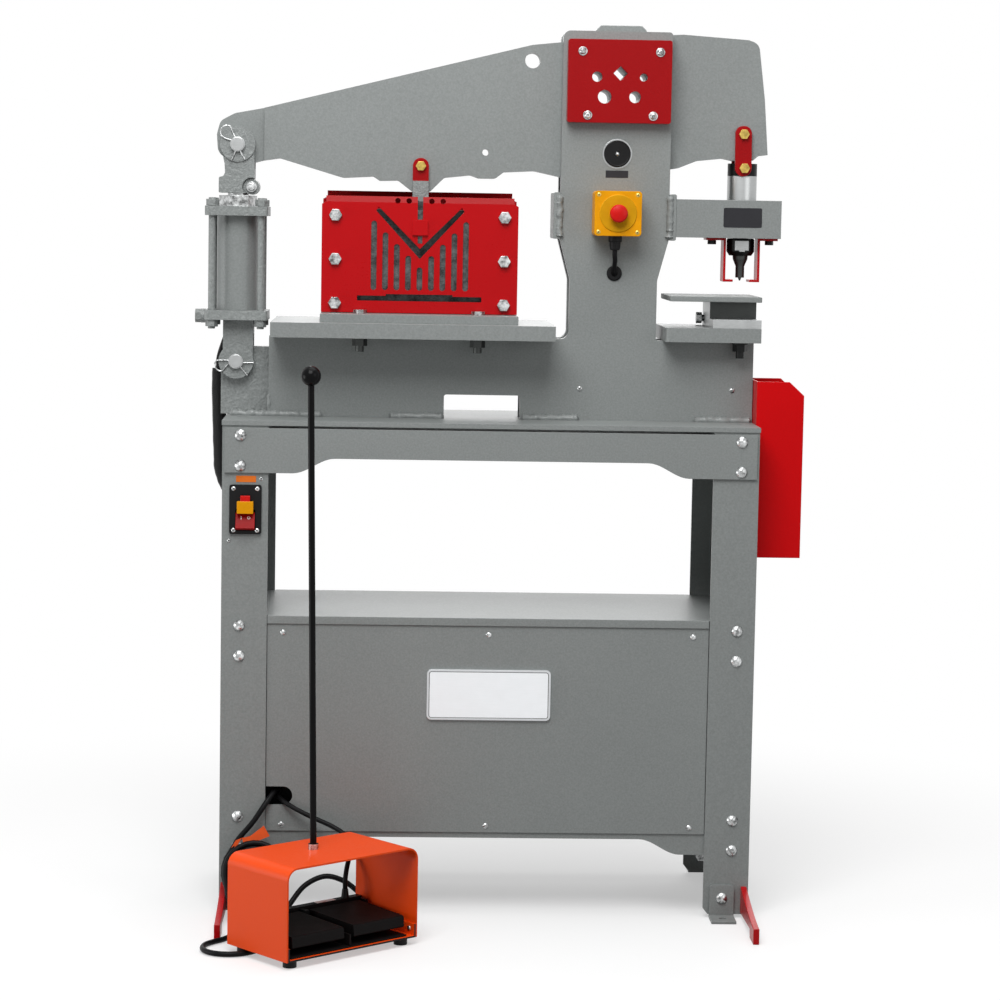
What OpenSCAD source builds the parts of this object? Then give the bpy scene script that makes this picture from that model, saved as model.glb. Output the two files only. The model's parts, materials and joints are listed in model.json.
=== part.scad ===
// Hydraulic ironworker on a sheet-steel stand, in millimetres.
// X runs to the right, Y away from the operator, Z up, and the floor is Z = 0.
// The origin lies midway between the four floor-anchor holes.

/* [Stand] */
// Overall width of the stand
stand_w = 890; // [840:5:940]
// Overall depth of the stand
stand_d = 330; // [310:5:370]
// Height of the stand's top edge above the floor
stand_h = 821; // [780:1:860]
// Width of a leg's front and rear flange
leg_flange_w = 76; // [70:1:84]
// Sheet thickness of the legs and rails
leg_sheet = 5; // [4:0.5:6]
// Gap between a leg's bottom edge and the floor
leg_lift = 6; // [5.5:0.5:10]
// Height of a top rail at its ends
rail_end_h = 74; // [68:1:84]
// Height of a top rail in the middle of its arch
rail_mid_h = 49; // [44:1:56]
// Length of a rail's flat foot, inside the leg
rail_flat = 112; // [96:1:130]
// Width of the S-curve that leads into a rail's arch
rail_ramp = 70; // [50:1:90]
// Height of the cabinet's top above the floor
shelf_z = 505; // [480:1:530]
// Height of the cabinet panels' lower edge above the floor
panel_z = 142; // [136:1:150]
// Height of a bottom rail's lower edge at its ends
low_rail_z = 106; // [100:1:112]
// Height that a bottom rail's arch rises to
low_arch_z = 132; // [126:1:134]
// Sheet thickness of the cabinet
cabinet_sheet = 3; // [2:0.5:4]
// Width of a floor clip
clip_w = 42; // [36:1:50]
// Height of a floor clip
clip_h = 57; // [52:1:66]
// Reach of a floor clip's foot past the leg
clip_reach = 46; // [40:1:56]
// Sheet thickness of a floor clip
clip_t = 5; // [3:0.5:5.5]
// Diameter of a floor-anchor hole
anchor_d = 12; // [8:0.5:14]
// Distance from a leg's outer edge to the carriage bolts and floor clips
bolt_inset = 30; // [28:1:34]
// Distance from a leg's outer edge to the floor clips
clip_inset = 45; // [44:1:50]
// Reach of an outrigger in front of the leg
outrigger_reach = 180; // [150:5:220]
// Height of an outrigger where it meets the leg
outrigger_h = 54; // [46:1:60]
// Height of an outrigger's tip
outrigger_tip = 26; // [20:1:32]
// Thickness of an outrigger
outrigger_t = 10; // [8:1:14]

/* [Base and frame] */
// Width of the base plate
base_w = 892; // [880:2:900]
// Depth of the base plate
base_d = 335; // [325:1:350]
// Thickness of the base plate
base_t = 8; // [6:0.5:12]
// Thickness of one frame plate
plate_t = 20; // [16:1:24]
// Gap between the two frame plates
plate_gap = 44; // [43:0.5:46]
// Distance from the origin to the frame's left end
frame_left = 375; // [374:1:378]
// Distance from the origin to the frame's right end
frame_right = 446; // [440:1:446]
// Height of the frame's bed above the base plate
bed_h = 137; // [130:1:144]
// Width of the window in the frame's foot
window_w = 129; // [110:1:140]
// Height of the window in the frame's foot
window_h = 40; // [34:1:50]
// Sideways place of the window's middle
window_x = -14; // [-24:1:-4]
// Sideways place of the column's middle
column_x = 205; // [200:1:210]
// Width of the column
column_w = 184; // [178:1:188]
// Width of the column's neck
neck_w = 148; // [142:1:152]
// Height of the column's top above the bed
column_h = 517; // [510:1:524]
// Height of the neck's top above the bed
neck_h = 101; // [92:1:110]
// Height of the column's shoulder above the bed
shoulder_h = 169; // [160:1:178]
// Height of the main pivot above the bed
pivot_h = 313; // [309:1:317]
// Diameter of the main pivot pin
pivot_d = 50; // [44:1:54]
// Diameter of the grease cap
cap_d = 45; // [36:1:48]
// Width of a cross bar at the column's edge
bar_w = 12; // [8:1:13]
// Height of a cross bar
bar_h = 78; // [70:1:84]

/* [Beam and cylinder] */
// Thickness of the beam
beam_t = 40; // [38:0.5:42]
// Thickness of the beam's thin left end
beam_end_t = 25; // [22:1:27]
// Distance from the main pivot to the clevis pin
rod_arm = 638; // [634:1:642]
// Distance from the main pivot to the shear link's bolt
shear_arm = 330; // [326:1:334]
// Distance from the main pivot to the punch ram's axis
punch_reach = 217; // [213:1:221]
// Diameter of the clevis pin and the cylinder's base pin
pin_d = 25; // [20:0.5:28]
// Radius of the clevis and fork eyes
eye_r = 29.5; // [27:0.5:32]
// Height of the cylinder's base pin above the base plate
base_pin_h = 90.5; // [88:0.5:94]
// Side of a cylinder cap
cap_side = 106; // [104:1:112]
// Thickness of a cylinder cap
cap_t = 16; // [12:0.5:18]
// Outer diameter of the cylinder barrel
barrel_d = 70; // [66:0.5:74]
// Wall of the cylinder barrel
barrel_wall = 3.5; // [2.5:0.5:5]
// Length of the cylinder barrel
barrel_l = 159; // [154:1:163]
// Height of the base cap's underside above the base pin
fork_h = 70; // [64:1:74]
// Diameter of the piston rod
rod_d = 35; // [28:1:40]
// Diameter of a tie rod
tie_d = 12; // [10:1:17]

/* [Shear] */
// Width of the shear table
table_w = 472; // [440:2:476]
// Depth of the shear table
table_d = 280; // [250:2:310]
// Thickness of the shear table
table_t = 25; // [20:1:28]
// Sideways place of the shear's middle
shear_x = -123; // [-126:1:-120]
// Width of the shear guard
guard_w = 330; // [320:2:340]
// Height of the shear guard's flat face
guard_h = 186; // [180:1:192]
// Sheet thickness of the shear guard
guard_t = 4; // [2:0.5:5]
// Depth between the front and rear guards
shear_d = 100; // [90:2:110]
// Thickness of the shear's base plate
shear_base_t = 14; // [10:1:16]
// Depth of the shear's base plate
shear_base_d = 230; // [210:2:250]
// Width of a shear cheek
cheek_w = 38; // [34:1:42]
// Thickness of each shear blade
blade_t = 20; // [14:1:21]
// Number of vertical slots in the guard
slot_count = 9; // [7:2:9]
// Distance between two vertical slots
slot_pitch = 19.3; // [17:0.1:20]
// Width of a vertical slot
slot_w = 9.7; // [7:0.1:11]
// Width of the angle-bar slot
vee_w = 11.5; // [8:0.5:13]
// Width of the flat-bar slot
bar_slot_w = 209; // [180:1:220]
// Height of the flat-bar slot
bar_slot_h = 8.5; // [6:0.5:10]

/* [Punch and rod shear] */
// Length of the punch arm past the cross bar
arm_l = 178; // [170:1:190]
// Depth of the punch arm
arm_d = 90; // [80:1:100]
// Height of the punch arm
arm_h = 64; // [58:1:68]
// Diameter of the punch ram
ram_d = 50; // [46:1:54]
// Diameter of the punch's shank
punch_d = 15; // [10:0.5:18]
// Clear height between the punch's tip and the die
throat_h = 26; // [22:1:28]
// Outer diameter of the die
die_d = 42; // [36:0.5:46]
// Clearance of the die's bore round the punch
die_gap = 0.8; // [0.4:0.1:1.5]
// Width of the punch table
punch_table_w = 170; // [164:1:172]
// Depth of the punch table
punch_table_d = 170; // [150:1:190]
// Thickness of the punch table
punch_table_t = 9; // [6:0.5:12]
// Thickness of the die bed
die_bed_t = 24; // [20:1:28]
// Depth of the die bed
die_bed_d = 190; // [170:1:210]
// Width of the rod-shear guard
rod_guard_w = 174; // [168:1:178]
// Height of the rod-shear guard
rod_guard_h = 138; // [132:1:142]
// Depth of the rod-shear guard
rod_guard_d = 23; // [16:1:28]

/* [Controls and bin] */
// Width of the emergency-stop box
estop_w = 79; // [70:1:84]
// Height of the emergency-stop box
estop_h = 75; // [70:1:80]
// Depth of the emergency-stop box
estop_d = 60; // [50:1:66]
// Diameter of the emergency-stop button
button_d = 30; // [26:1:40]
// Travel of the emergency-stop button
button_travel = 5; // [3:0.5:6]
// Width of the switch plate
switch_w = 53; // [48:1:58]
// Height of the switch plate
switch_h = 82; // [76:1:90]
// Width of the tool bin
bin_w = 80; // [70:1:100]
// Depth of the tool bin
bin_d = 115; // [100:1:140]
// Height of the tool bin
bin_h = 298; // [280:1:310]
// Sheet thickness of the tool bin
bin_t = 3; // [2:0.5:4]

/* [Foot switch] */
// Width of the foot switch's guard
foot_w = 266; // [250:1:280]
// Depth of the foot switch's guard
foot_d = 154; // [148:1:170]
// Height of the foot switch's guard above its feet
foot_h = 148; // [135:1:155]
// Sheet thickness of the foot switch's guard
foot_sheet = 3; // [2:0.5:4]
// Radius of the guard's upper bends
foot_bend = 20; // [12:1:28]
// Height of the rubber feet
foot_feet_h = 12; // [11:0.5:16]
// Turn of the foot switch on the floor
foot_yaw = 40; // [36:1:44]
// Length of the carry rod above the guard
carry_l = 743; // [700:1:780]
// Diameter of the carry rod
carry_d = 10.5; // [7:0.5:12]
// Diameter of the ball knob
knob_d = 32; // [26:1:40]

/* [Cords] */
// Diameter of the power lead
lead_d = 9; // [8:0.5:10]
// Diameter of the foot switch's cord
foot_cord_d = 8; // [7:0.5:9]
// Turns in one layer of the coiled lead
coil_turns = 2; // [2:1:3]
// Gap between neighbouring turns
coil_gap = 0.6; // [0.5:0.1:1]

/* [Hidden] */
$fn = 48;

// Clearances
run_gap = 0.05;
slide_gap = 0.3;
bolt_gap = 0.3;
link_play = 1.0;
clevis_play = 1.5;
eps = 1;

// Colours
machine_grey = [0.50, 0.52, 0.52];
guard_red = [0.72, 0.04, 0.05];
steel = [0.66, 0.67, 0.68];
zinc = [0.80, 0.80, 0.78];
dark_steel = [0.22, 0.23, 0.23];
black = [0.05, 0.05, 0.05];
safety_yellow = [0.95, 0.68, 0.05];
orange = [0.93, 0.32, 0.07];

// Levels and faces that several pieces share
half_w = stand_w / 2;
half_d = stand_d / 2;
base_top = stand_h + base_t;
bed_z = base_top + bed_h;
column_top = bed_z + column_h;
pivot_z = bed_z + pivot_h;
pivot_x = column_x + 2;
column_l = column_x - column_w / 2;
column_r = column_x + column_w / 2;
plate_in = plate_gap / 2;
plate_out = plate_in + plate_t;
shoulder_z = bed_z + shoulder_h;
bar_z = shoulder_z;
table_top = bed_z + table_t;
shear_base_top = table_top + shear_base_t;
guard_y = shear_d / 2;
rail_gap = 4;
rail_top = stand_h - rail_gap;
rail_end = half_w - 4;

// Pins, bolts and links at rest
clevis_x = pivot_x - rod_arm;
clevis_z = pivot_z + 5;
base_pin_z = base_top + base_pin_h;
cyl_base_z = base_pin_z + fork_h;
shear_bolt_z = pivot_z - 26;
punch_x = pivot_x + punch_reach;
link_low_z = pivot_z - 20;
link_high_z = pivot_z + 37;
link_x = punch_x - 1.5;
strap_t = 8;
strap_y = beam_t / 2 + slide_gap;
link_bolt_d = 12;
fork_gap = beam_end_t / 2 + 1;
ear_t = 16;
neck_y = fork_gap + ear_t - 3;

// Rod-shear holes as [x from the column's middle, height under the column's top, radius, sides]
rod_holes = [[-36, 77, 8.5, 48], [3, 71, 12, 4], [42, 77, 6.6, 48], [-23, 110, 11.3, 48], [28, 110,
    9.7, 48]];
rod_guard_screws = [[-61, 35], [69, 35], [-51, 141], [59, 141]];
carriage_z = [stand_h - 16, stand_h - 66, shelf_z - 17, shelf_z - 68, low_rail_z + 60, low_rail_z + 9];
carriage_d = 12;
head_r = 10;
head_h = 6;
panel_screw_x = [-342, 0, 342];
panel_screw_d = 5;
table_bolt_x = [shear_x - 99, shear_x + 99];
table_bolt_d = 14;
table_bolt_y = plate_out + 28;
die_bolt_y = plate_out + 22;
guard_bolt_d = 10;
guard_bolt_z = [0.09, 0.485, 0.88];
guard_bolt_x = guard_w / 2 - 23;

// Moves a corner's arc onto a polygon: each point is [x, y, radius]
function unit(v) = v / norm(v);
function corner(a, b, c, n = 8) =
    let (p = [b[0], b[1]], u = unit([a[0], a[1]] - p), v = unit([c[0], c[1]] - p),
        half = acos(max(-1, min(1, u * v))) / 2, r = b[2], m = p + unit(u + v) * r / sin(half),
        s = p + u * r / tan(half) - m, e = p + v * r / tan(half) - m,
        a0 = atan2(s[1], s[0]), da = atan2(s[0] * e[1] - s[1] * e[0], s * e))
    [for (i = [0 : n]) m + r * [cos(a0 + da * i / n), sin(a0 + da * i / n)]];
function soften(p) =
    let (n = len(p))
    [for (i = [0 : n - 1]) each (p[i][2] > 0 ? corner(p[(i + n - 1) % n], p[i], p[(i + 1) % n])
        : [[p[i][0], p[i][1]]])];

// Stands an outline drawn in X and Z up, between two depths
module slab(y0, y1, outline) {
    translate([0, y1, 0]) rotate([90, 0, 0]) linear_extrude(y1 - y0) polygon(outline);
}
module block(x0, x1, y0, y1, z0, z1) {
    translate([x0, y0, z0]) cube([x1 - x0, y1 - y0, z1 - z0]);
}
// A round bar along Y
module rod_y(x, z, r, y0, y1, fn = 48) {
    translate([x, y1, z]) rotate([90, 0, 0]) cylinder(r = r, h = y1 - y0, $fn = fn);
}
module rod_z(x, y, r, z0, z1, fn = 48) {
    translate([x, y, z0]) cylinder(r = r, h = z1 - z0, $fn = fn);
}
module rod_x(y, z, r, x0, x1, fn = 48) {
    translate([x0, y, z]) rotate([0, 90, 0]) cylinder(r = r, h = x1 - x0, $fn = fn);
}
module mirror_both() {
    for (sx = [-1, 1]) for (sy = [-1, 1]) scale_sign(sx, sy) children();
}
module scale_sign(sx, sy) {
    mirror([sx < 0 ? 1 : 0, 0, 0]) mirror([0, sy < 0 ? 1 : 0, 0]) children();
}

// Tubes swept along a path of points
function ring(c, t, up, r, sides) =
    let (a = unit(cross(t, up)), b = cross(a, t))
    [for (i = [0 : sides - 1]) c + r * (cos(360 * i / sides) * a + sin(360 * i / sides) * b)];
function tangent(p, i) = unit(p[min(i + 1, len(p) - 1)] - p[max(i - 1, 0)]);
function carry(up, t) = unit(up - (up * t) * t);
function frames(p, i, up) = i >= len(p) ? [] :
    let (u = carry(up, tangent(p, i))) concat([u], frames(p, i + 1, u));
module tube(p, r, sides, up = [0.3, 0.2, 0.93]) {
    n = len(p);
    ups = frames(p, 0, up);
    rings = [for (i = [0 : n - 1]) ring(p[i], tangent(p, i), ups[i], r, sides)];
    points = concat([for (k = rings) each k], [p[0], p[n - 1]]);
    walls = [for (i = [0 : n - 2]) for (j = [0 : sides - 1])
        let (a = i * sides + j, b = i * sides + (j + 1) % sides)
        each [[a, b, a + sides], [b, b + sides, a + sides]]];
    first = [for (j = [0 : sides - 1]) [n * sides, (j + 1) % sides, j]];
    last = [for (j = [0 : sides - 1])
        [n * sides + 1, (n - 1) * sides + j, (n - 1) * sides + (j + 1) % sides]];
    polyhedron(points, concat(walls, first, last));
}
// A smooth curve through the route's points
function bend(p, i, t) =
    let (n = len(p), a = p[max(i - 1, 0)], b = p[i], c = p[i + 1], d = p[min(i + 2, n - 1)])
    0.5 * (2 * b + (c - a) * t + (2 * a - 5 * b + 4 * c - d) * t * t + (3 * b - a - 3 * c + d)
        * t * t * t);
function smooth(p, n) = concat([for (i = [0 : len(p) - 2]) for (k = [0 : n - 1]) bend(p, i, k / n)],
    [p[len(p) - 1]]);
function run_length(p) = len(p) < 2 ? 0 : let (d = [for (i = [1 : len(p) - 1]) norm(p[i] - p[i - 1])])
    d * [for (i = d) 1];

// Fasteners
module hex_head(af, h) { cylinder(r = af / 2 / cos(30), h = h, $fn = 6); }
module dome(r, h) {
    ball = (r * r + h * h) / (2 * h);
    rotate_extrude() intersection() {
        translate([0, h - ball]) circle(ball, $fn = 64);
        square([r, h]);
    }
}

// Stand
module leg() {
    flange = [[-half_w, leg_lift], [-half_w + leg_flange_w - 8, leg_lift],
        [-half_w + leg_flange_w, leg_lift + 10], [-half_w + leg_flange_w, stand_h], [-half_w, stand_h]];
    difference() {
        union() {
            for (s = [-1, 1]) slab(s * half_d - (s > 0 ? leg_sheet : 0),
                s * half_d + (s < 0 ? leg_sheet : 0), flange);
            block(-half_w, -half_w + leg_sheet, -half_d, half_d, leg_lift, stand_h);
        }
        for (z = carriage_z) rod_y(-half_w + bolt_inset, z, carriage_d / 2 + bolt_gap, -half_d - eps,
            half_d + eps);
        rod_y(-half_w + clip_inset, clip_bolt_z, carriage_d / 2 + bolt_gap, -half_d - eps, half_d + eps);
    }
}
hose_hole_z = stand_h - 128;
hose_d = 25;
hose_x = -449;
hose_slot = [hose_hole_z - 21, hose_hole_z + 24];
hose_play = 0.4;
module stand_leg_left() {
    color(machine_grey) difference() {
        leg();
        r = hose_d / 2 + hose_play;
        for (z = hose_slot) rod_x(hose_y, z, r, -half_w - eps, -half_w + leg_sheet + eps);
        block(-half_w - eps, -half_w + leg_sheet + eps, hose_y - r, hose_y + r, hose_slot[0], hose_slot[1]);
        switch_cutout();
    }
}
module stand_leg_right() { color(machine_grey) mirror([1, 0, 0]) leg(); }

// Half of a rail's lower edge, from its end to the start of the arch
function s_curve(x0, x1, z0, z1, n = 10) =
    [for (i = [0 : n]) [x0 + (x1 - x0) * i / n, z0 + (z1 - z0) * (1 - cos(180 * i / n)) / 2]];
function flip(p) = [for (i = [len(p) - 1 : -1 : 0]) [-p[i][0], p[i][1]]];
function rail_outline(end, z_end, z_mid, z_top) =
    let (left = concat([[-end, z_end]], s_curve(-end + rail_flat, -end + rail_flat + rail_ramp, z_end,
        z_mid)))
    concat(left, flip(left), [[end, z_top], [-end, z_top]]);
low_rail_top = panel_z + 38;
low_rail_x = half_w - leg_sheet;
module rail_pair() {
    for (s = [0, 1]) mirror([0, s, 0]) children();
}
module stand_rails() {
    color(machine_grey) rail_pair() difference() {
        union() {
            slab(-half_d - leg_sheet, -half_d, rail_outline(rail_end, rail_top - rail_end_h,
                rail_top - rail_mid_h, rail_top));
            block(-half_w + leg_flange_w + 4, half_w - leg_flange_w - 4, -half_d, -half_d + 40,
                rail_top - leg_sheet, rail_top);
        }
        for (s = [-1, 1]) for (z = carriage_z)
            rod_y(s * (half_w - bolt_inset), z, carriage_d / 2 + bolt_gap, -half_d - leg_sheet - eps,
                -half_d + eps);
    }
    color(machine_grey) rail_pair() difference() {
        union() {
            slab(-half_d + leg_sheet, -half_d + 2 * leg_sheet, rail_outline(low_rail_x, low_rail_z,
                low_arch_z, low_rail_top));
            block(-low_rail_x, low_rail_x, -half_d + 2 * leg_sheet, -half_d + 40, panel_z - leg_sheet,
                panel_z);
        }
        for (s = [-1, 1]) for (z = carriage_z)
            rod_y(s * (half_w - bolt_inset), z, carriage_d / 2 + bolt_gap, -half_d + eps,
                -half_d + 4 * leg_sheet);
        for (x = panel_screw_x) rod_y(x, panel_z + 11, panel_screw_d / 2 + bolt_gap, -half_d,
            -half_d + 4 * leg_sheet);
    }
}
panel_half = half_w - leg_flange_w - 1;
panel_y = -half_d + leg_sheet;
panel_top = shelf_z - 14;
lip_z = panel_top + 0.5;
module cabinet_top() {
    color(machine_grey) difference() {
        union() {
            block(-half_w + leg_sheet + 1, half_w - leg_sheet - 1, panel_y + 1, -panel_y - 1,
                shelf_z - cabinet_sheet, shelf_z);
            rail_pair() block(-panel_half, panel_half, panel_y - 6, panel_y + 1,
                shelf_z - cabinet_sheet, shelf_z);
            rail_pair() block(-panel_half, panel_half, panel_y - 6, panel_y - 6 + cabinet_sheet, lip_z,
                shelf_z);
        }
        for (s = [-1, 1]) for (t = [-1, 1]) for (z = carriage_z)
            rod_y(s * (half_w - bolt_inset), z, carriage_d, t * half_d - 20, t * half_d + 20);
    }
}
notch_w = 44;
notch_z0 = panel_z + 44;
notch_h = 31;
module cabinet_panels() {
    color(machine_grey) difference() {
        rail_pair() difference() {
            union() {
                block(-panel_half, panel_half, panel_y - cabinet_sheet, panel_y, panel_z, panel_top);
                block(-panel_half + 5, panel_half - 5, panel_y, panel_y + 20,
                    panel_top - 2 * cabinet_sheet, panel_top - cabinet_sheet);
            }
            for (x = panel_screw_x) for (z = [panel_z + 11, panel_top - 14])
                rod_y(x, z, panel_screw_d / 2 + bolt_gap, panel_y - 10, panel_y + 4);
        }
        block(-panel_half - eps, -panel_half + notch_w - notch_h / 2, panel_y - 10, panel_y + 5,
            notch_z0, notch_z0 + notch_h);
        rod_y(-panel_half + notch_w - notch_h / 2, notch_z0 + notch_h / 2, notch_h / 2, panel_y - 10,
            panel_y + 5);
    }
    color(machine_grey) block(-low_rail_x + 1, low_rail_x - 1, -half_d + 2 * leg_sheet + 2,
        half_d - 2 * leg_sheet - 2,
        panel_z, panel_z + cabinet_sheet);
}
module carriage_bolt(grip) {
    translate([0, -0.2, 0]) {
        rotate([90, 0, 0]) dome(head_r, head_h);
        rod_y(0, 0, carriage_d / 2, 0, grip + 14);
        translate([0, grip + 12, 0]) rotate([90, 0, 0]) difference() {
            translate([0, 0, 0.5]) hex_head(18, 11);
        }
    }
}
function bolt_face(z) = z > rail_top - rail_end_h ? half_d + leg_sheet : half_d;
function bolt_grip(z) = z > rail_top - rail_end_h || z < low_rail_top ? 2 * leg_sheet : leg_sheet;
clip_bolt_z = clip_h - 23;
module stand_fasteners() {
    color(zinc) for (s = [-1, 1]) for (t = [-1, 1]) for (z = carriage_z) scale_sign(s, t)
        translate([half_w - bolt_inset, -bolt_face(z), z]) carriage_bolt(bolt_grip(z));
    color(zinc) for (s = [-1, 1]) for (t = [-1, 1]) scale_sign(s, t)
        translate([half_w - clip_inset, -half_d - clip_t, clip_bolt_z]) carriage_bolt(leg_sheet + clip_t);
    color(zinc) for (t = [-1, 1]) scale_sign(1, t) for (x = panel_screw_x) for (z = [panel_z + 11,
        panel_top - 14])
        translate([x, panel_y - cabinet_sheet - 0.2, z]) {
            rotate([90, 0, 0]) dome(5, 2.5);
            rod_y(0, 0, panel_screw_d / 2, 0, cabinet_sheet + 3);
        }
}
module floor_clips() {
    x = half_w - clip_inset;
    color(machine_grey) mirror_both() difference() {
        union() {
            slab(-half_d - clip_t, -half_d, soften([[x - clip_w / 2, 0, 0], [x + clip_w / 2, 0, 0],
                [x + clip_w / 2, clip_h, 6], [x - clip_w / 2, clip_h, 6]]));
            block(x - clip_w / 2, x + clip_w / 2, -half_d - clip_reach, -half_d, 0, clip_t);
        }
        rod_z(x, -anchor_y, anchor_d / 2, -eps, clip_t + eps);
        rod_y(x, clip_bolt_z, carriage_d / 2 + bolt_gap, -half_d - clip_t - eps, -half_d + eps);
    }
}
anchor_y = half_d + clip_t + (clip_reach - clip_t) / 2;
module outriggers() {
    y0 = half_d;
    y1 = half_d + outrigger_reach;
    sag = [for (i = [0 : 12]) let (k = i / 12)
        [-(y0 + (y1 - y0) * k), outrigger_tip + (outrigger_h - outrigger_tip) * pow(1 - k, 1.5)]];
    outline = concat(sag, [[-y1, 0], [-y1 + 46, 0], [-y1 + 50, 14], [-y0, leg_lift + 3]]);
    color(guard_red) for (s = [-1, 1]) translate([s * (half_w - 3 - outrigger_t / 2) - outrigger_t / 2,
        0, 0])
        rotate([90, 0, 90]) linear_extrude(outrigger_t) polygon(outline);
}
module tool_bin() {
    x0 = max(base_w / 2, frame_right, half_w) + 1;
    x1 = x0 + bin_w;
    z1 = base_top + 73;
    z0 = z1 - bin_h;
    y0 = -95;
    y1 = y0 + bin_d;
    face = [[x0, z0], [x1, z0], [x1, z1 - 23], [x1 - 25, z1], [x0, z1]];
    color(guard_red) difference() {
        slab(y0, y1, face);
        block(x0 + bin_t, x1 - bin_t, y0 + bin_t, y1 - bin_t, z0 + bin_t, z1 + eps);
    }
    color(guard_red) difference() {
        block(half_w, x0, y0 + 15, y1 - 15, stand_h - 120, stand_h - 60);
        rod_x((y0 + y1) / 2, stand_h - 90, 6, half_w - eps, x0 + eps);
    }
}

// Frame
slot_x = base_w / 2 - 36;
slot_y = base_d / 2 - 86;
module base_plate() {
    color(machine_grey) difference() {
        block(-base_w / 2, base_w / 2, -base_d / 2, base_d / 2, stand_h, base_top);
        mirror_both() {
            rod_z(slot_x, -slot_y, 6, stand_h - eps, base_top + eps);
            rod_z(slot_x + 10, -slot_y, 6, stand_h - eps, base_top + eps);
            block(slot_x, slot_x + 10, -slot_y - 6, -slot_y + 6, stand_h - eps, base_top + eps);
        }
        rod_z(punch_x, 0, 14, stand_h - eps, base_top + eps);
    }
}
frame_outline = soften([[-frame_left, base_top, 0],
    [window_x - window_w / 2, base_top, 0], [window_x - window_w / 2, base_top + window_h, 4],
    [window_x + window_w / 2, base_top + window_h, 4], [window_x + window_w / 2, base_top, 0],
    [frame_right, base_top, 0], [frame_right, bed_z, 3],
    [column_x + neck_w / 2, bed_z, 4], [column_x + neck_w / 2, bed_z + neck_h, 30],
    [column_r, shoulder_z, 10], [column_r, column_top, 6],
    [column_l, column_top, 12], [column_l, shoulder_z, 10],
    [column_x - neck_w / 2, bed_z + neck_h, 30], [column_x - neck_w / 2, bed_z, 14],
    [-frame_left, bed_z, 4]]);
module rod_bores(y0, y1, grow) {
    for (h = rod_holes) rod_y(column_x + h[0], column_top - h[1], h[2] + grow, y0, y1, h[3]);
}
module frame_plate(y0) {
    y1 = y0 + plate_t;
    difference() {
        slab(y0, y1, frame_outline);
        rod_y(pivot_x, pivot_z, pivot_d / 2 + run_gap, y0 - eps, y1 + eps);
        rod_bores(y0 - eps, y1 + eps, 0.8);
        for (p = rod_guard_screws) rod_y(column_x + p[0], column_top - p[1], 3 + bolt_gap, y0 - eps,
            y1 + eps);
    }
}
module frame_plate_front() { color(machine_grey) frame_plate(-plate_out); }
module frame_plate_rear() { color(machine_grey) frame_plate(plate_in); }
module frame_spacers() {
    bar = [[0, 0, 3], [bar_w, 0, 3], [bar_w, bar_h, 3], [0, bar_h, 3]];
    color(machine_grey) {
        for (x = [column_l - bar_w, column_r]) translate([x, 0, bar_z]) slab(-plate_out - 4,
            plate_out + 4, soften(bar));
        slab(-plate_in, plate_in, [[column_x - 36, column_top - 3], [column_x + 49, column_top - 3],
            [column_x + 49, column_top + 3], [column_x + 41, column_top + 11],
            [column_x - 28, column_top + 11], [column_x - 36, column_top + 3]]);
        for (x = [-frame_left + 40, column_x - 70, frame_right - 110])
            block(x, x + 40, -plate_in, plate_in, base_top, base_top + 70);
    }
}
lug_x0 = clevis_x - 26;
module cylinder_lug() {
    h = base_pin_h + 24.5;
    color(machine_grey) difference() {
        slab(-beam_end_t / 2, beam_end_t / 2, soften([[lug_x0, base_top, 0], [-frame_left + 30,
            base_top, 0],
            [-frame_left + 30, base_top + h, 0], [lug_x0, base_top + h, 25]]));
        rod_y(clevis_x, base_pin_z, pin_d / 2 + run_gap, -beam_end_t, beam_end_t);
    }
    color(steel) pin(clevis_x, base_pin_z);
}
// A cross pin with a shallow chamfer at each end
module pin(x, z) {
    half = fork_gap + ear_t + 7;
    rod_y(x, z, pin_d / 2, -half, half);
    for (s = [-1, 1]) rod_y(x, z, pin_d / 2 - 1.5, s * half - 1, s * half + 1);
}
module main_pivot_pin() {
    color(steel) rod_y(pivot_x, pivot_z, pivot_d / 2, -plate_out, plate_out);
}
module grease_cap() {
    color(black) difference() {
        translate([pivot_x, -plate_out, pivot_z]) rotate([90, 0, 0]) rotate_extrude()
            polygon([[4, 0], [cap_d / 2, 0], [cap_d / 2, 3.5], [cap_d / 2 - 2, 5], [cap_d / 2 - 4,
                4.2], [4, 4.2]]);
    }
    color(steel) translate([pivot_x, -plate_out, pivot_z]) rotate([90, 0, 0]) dome(3.6, 5);
}

// Shear
module shear_table() {
    color(machine_grey) difference() {
        block(table_x0, table_x0 + table_w, -table_d / 2 - 10, table_d / 2 - 10, bed_z, table_top);
        for (x = table_bolt_x) for (s = [-1, 1])
            rod_z(x, s * table_bolt_y, table_bolt_d / 2 + bolt_gap, bed_z - eps, table_top + eps);
    }
}
table_x0 = -frame_left + 6;
module table_bolt(z0, z1, below, head) {
    rod_z(0, 0, table_bolt_d / 2, z0 - below, z1);
    if (head) translate([0, 0, z1 + 0.2]) hex_head(20, 6);
    if (head) rod_z(0, 0, table_bolt_d / 2, z1 - eps, z1 + 0.3);
    translate([0, 0, z0 - 3.2]) cylinder(r = table_bolt_d / 2 + 7, h = 3);
    translate([0, 0, z0 - 15.2]) hex_head(22, 12.5);
}
module table_bolts() {
    color(dark_steel) for (x = table_bolt_x) for (s = [-1, 1])
        translate([x, s * table_bolt_y, 0]) table_bolt(bed_z, shear_base_top, 25, true);
    color(dark_steel) for (s = [-1, 1])
        translate([punch_x - 4, s * die_bolt_y, 0]) table_bolt(bed_z, bed_z + die_bed_t + 9, 27, false);
}
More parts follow.
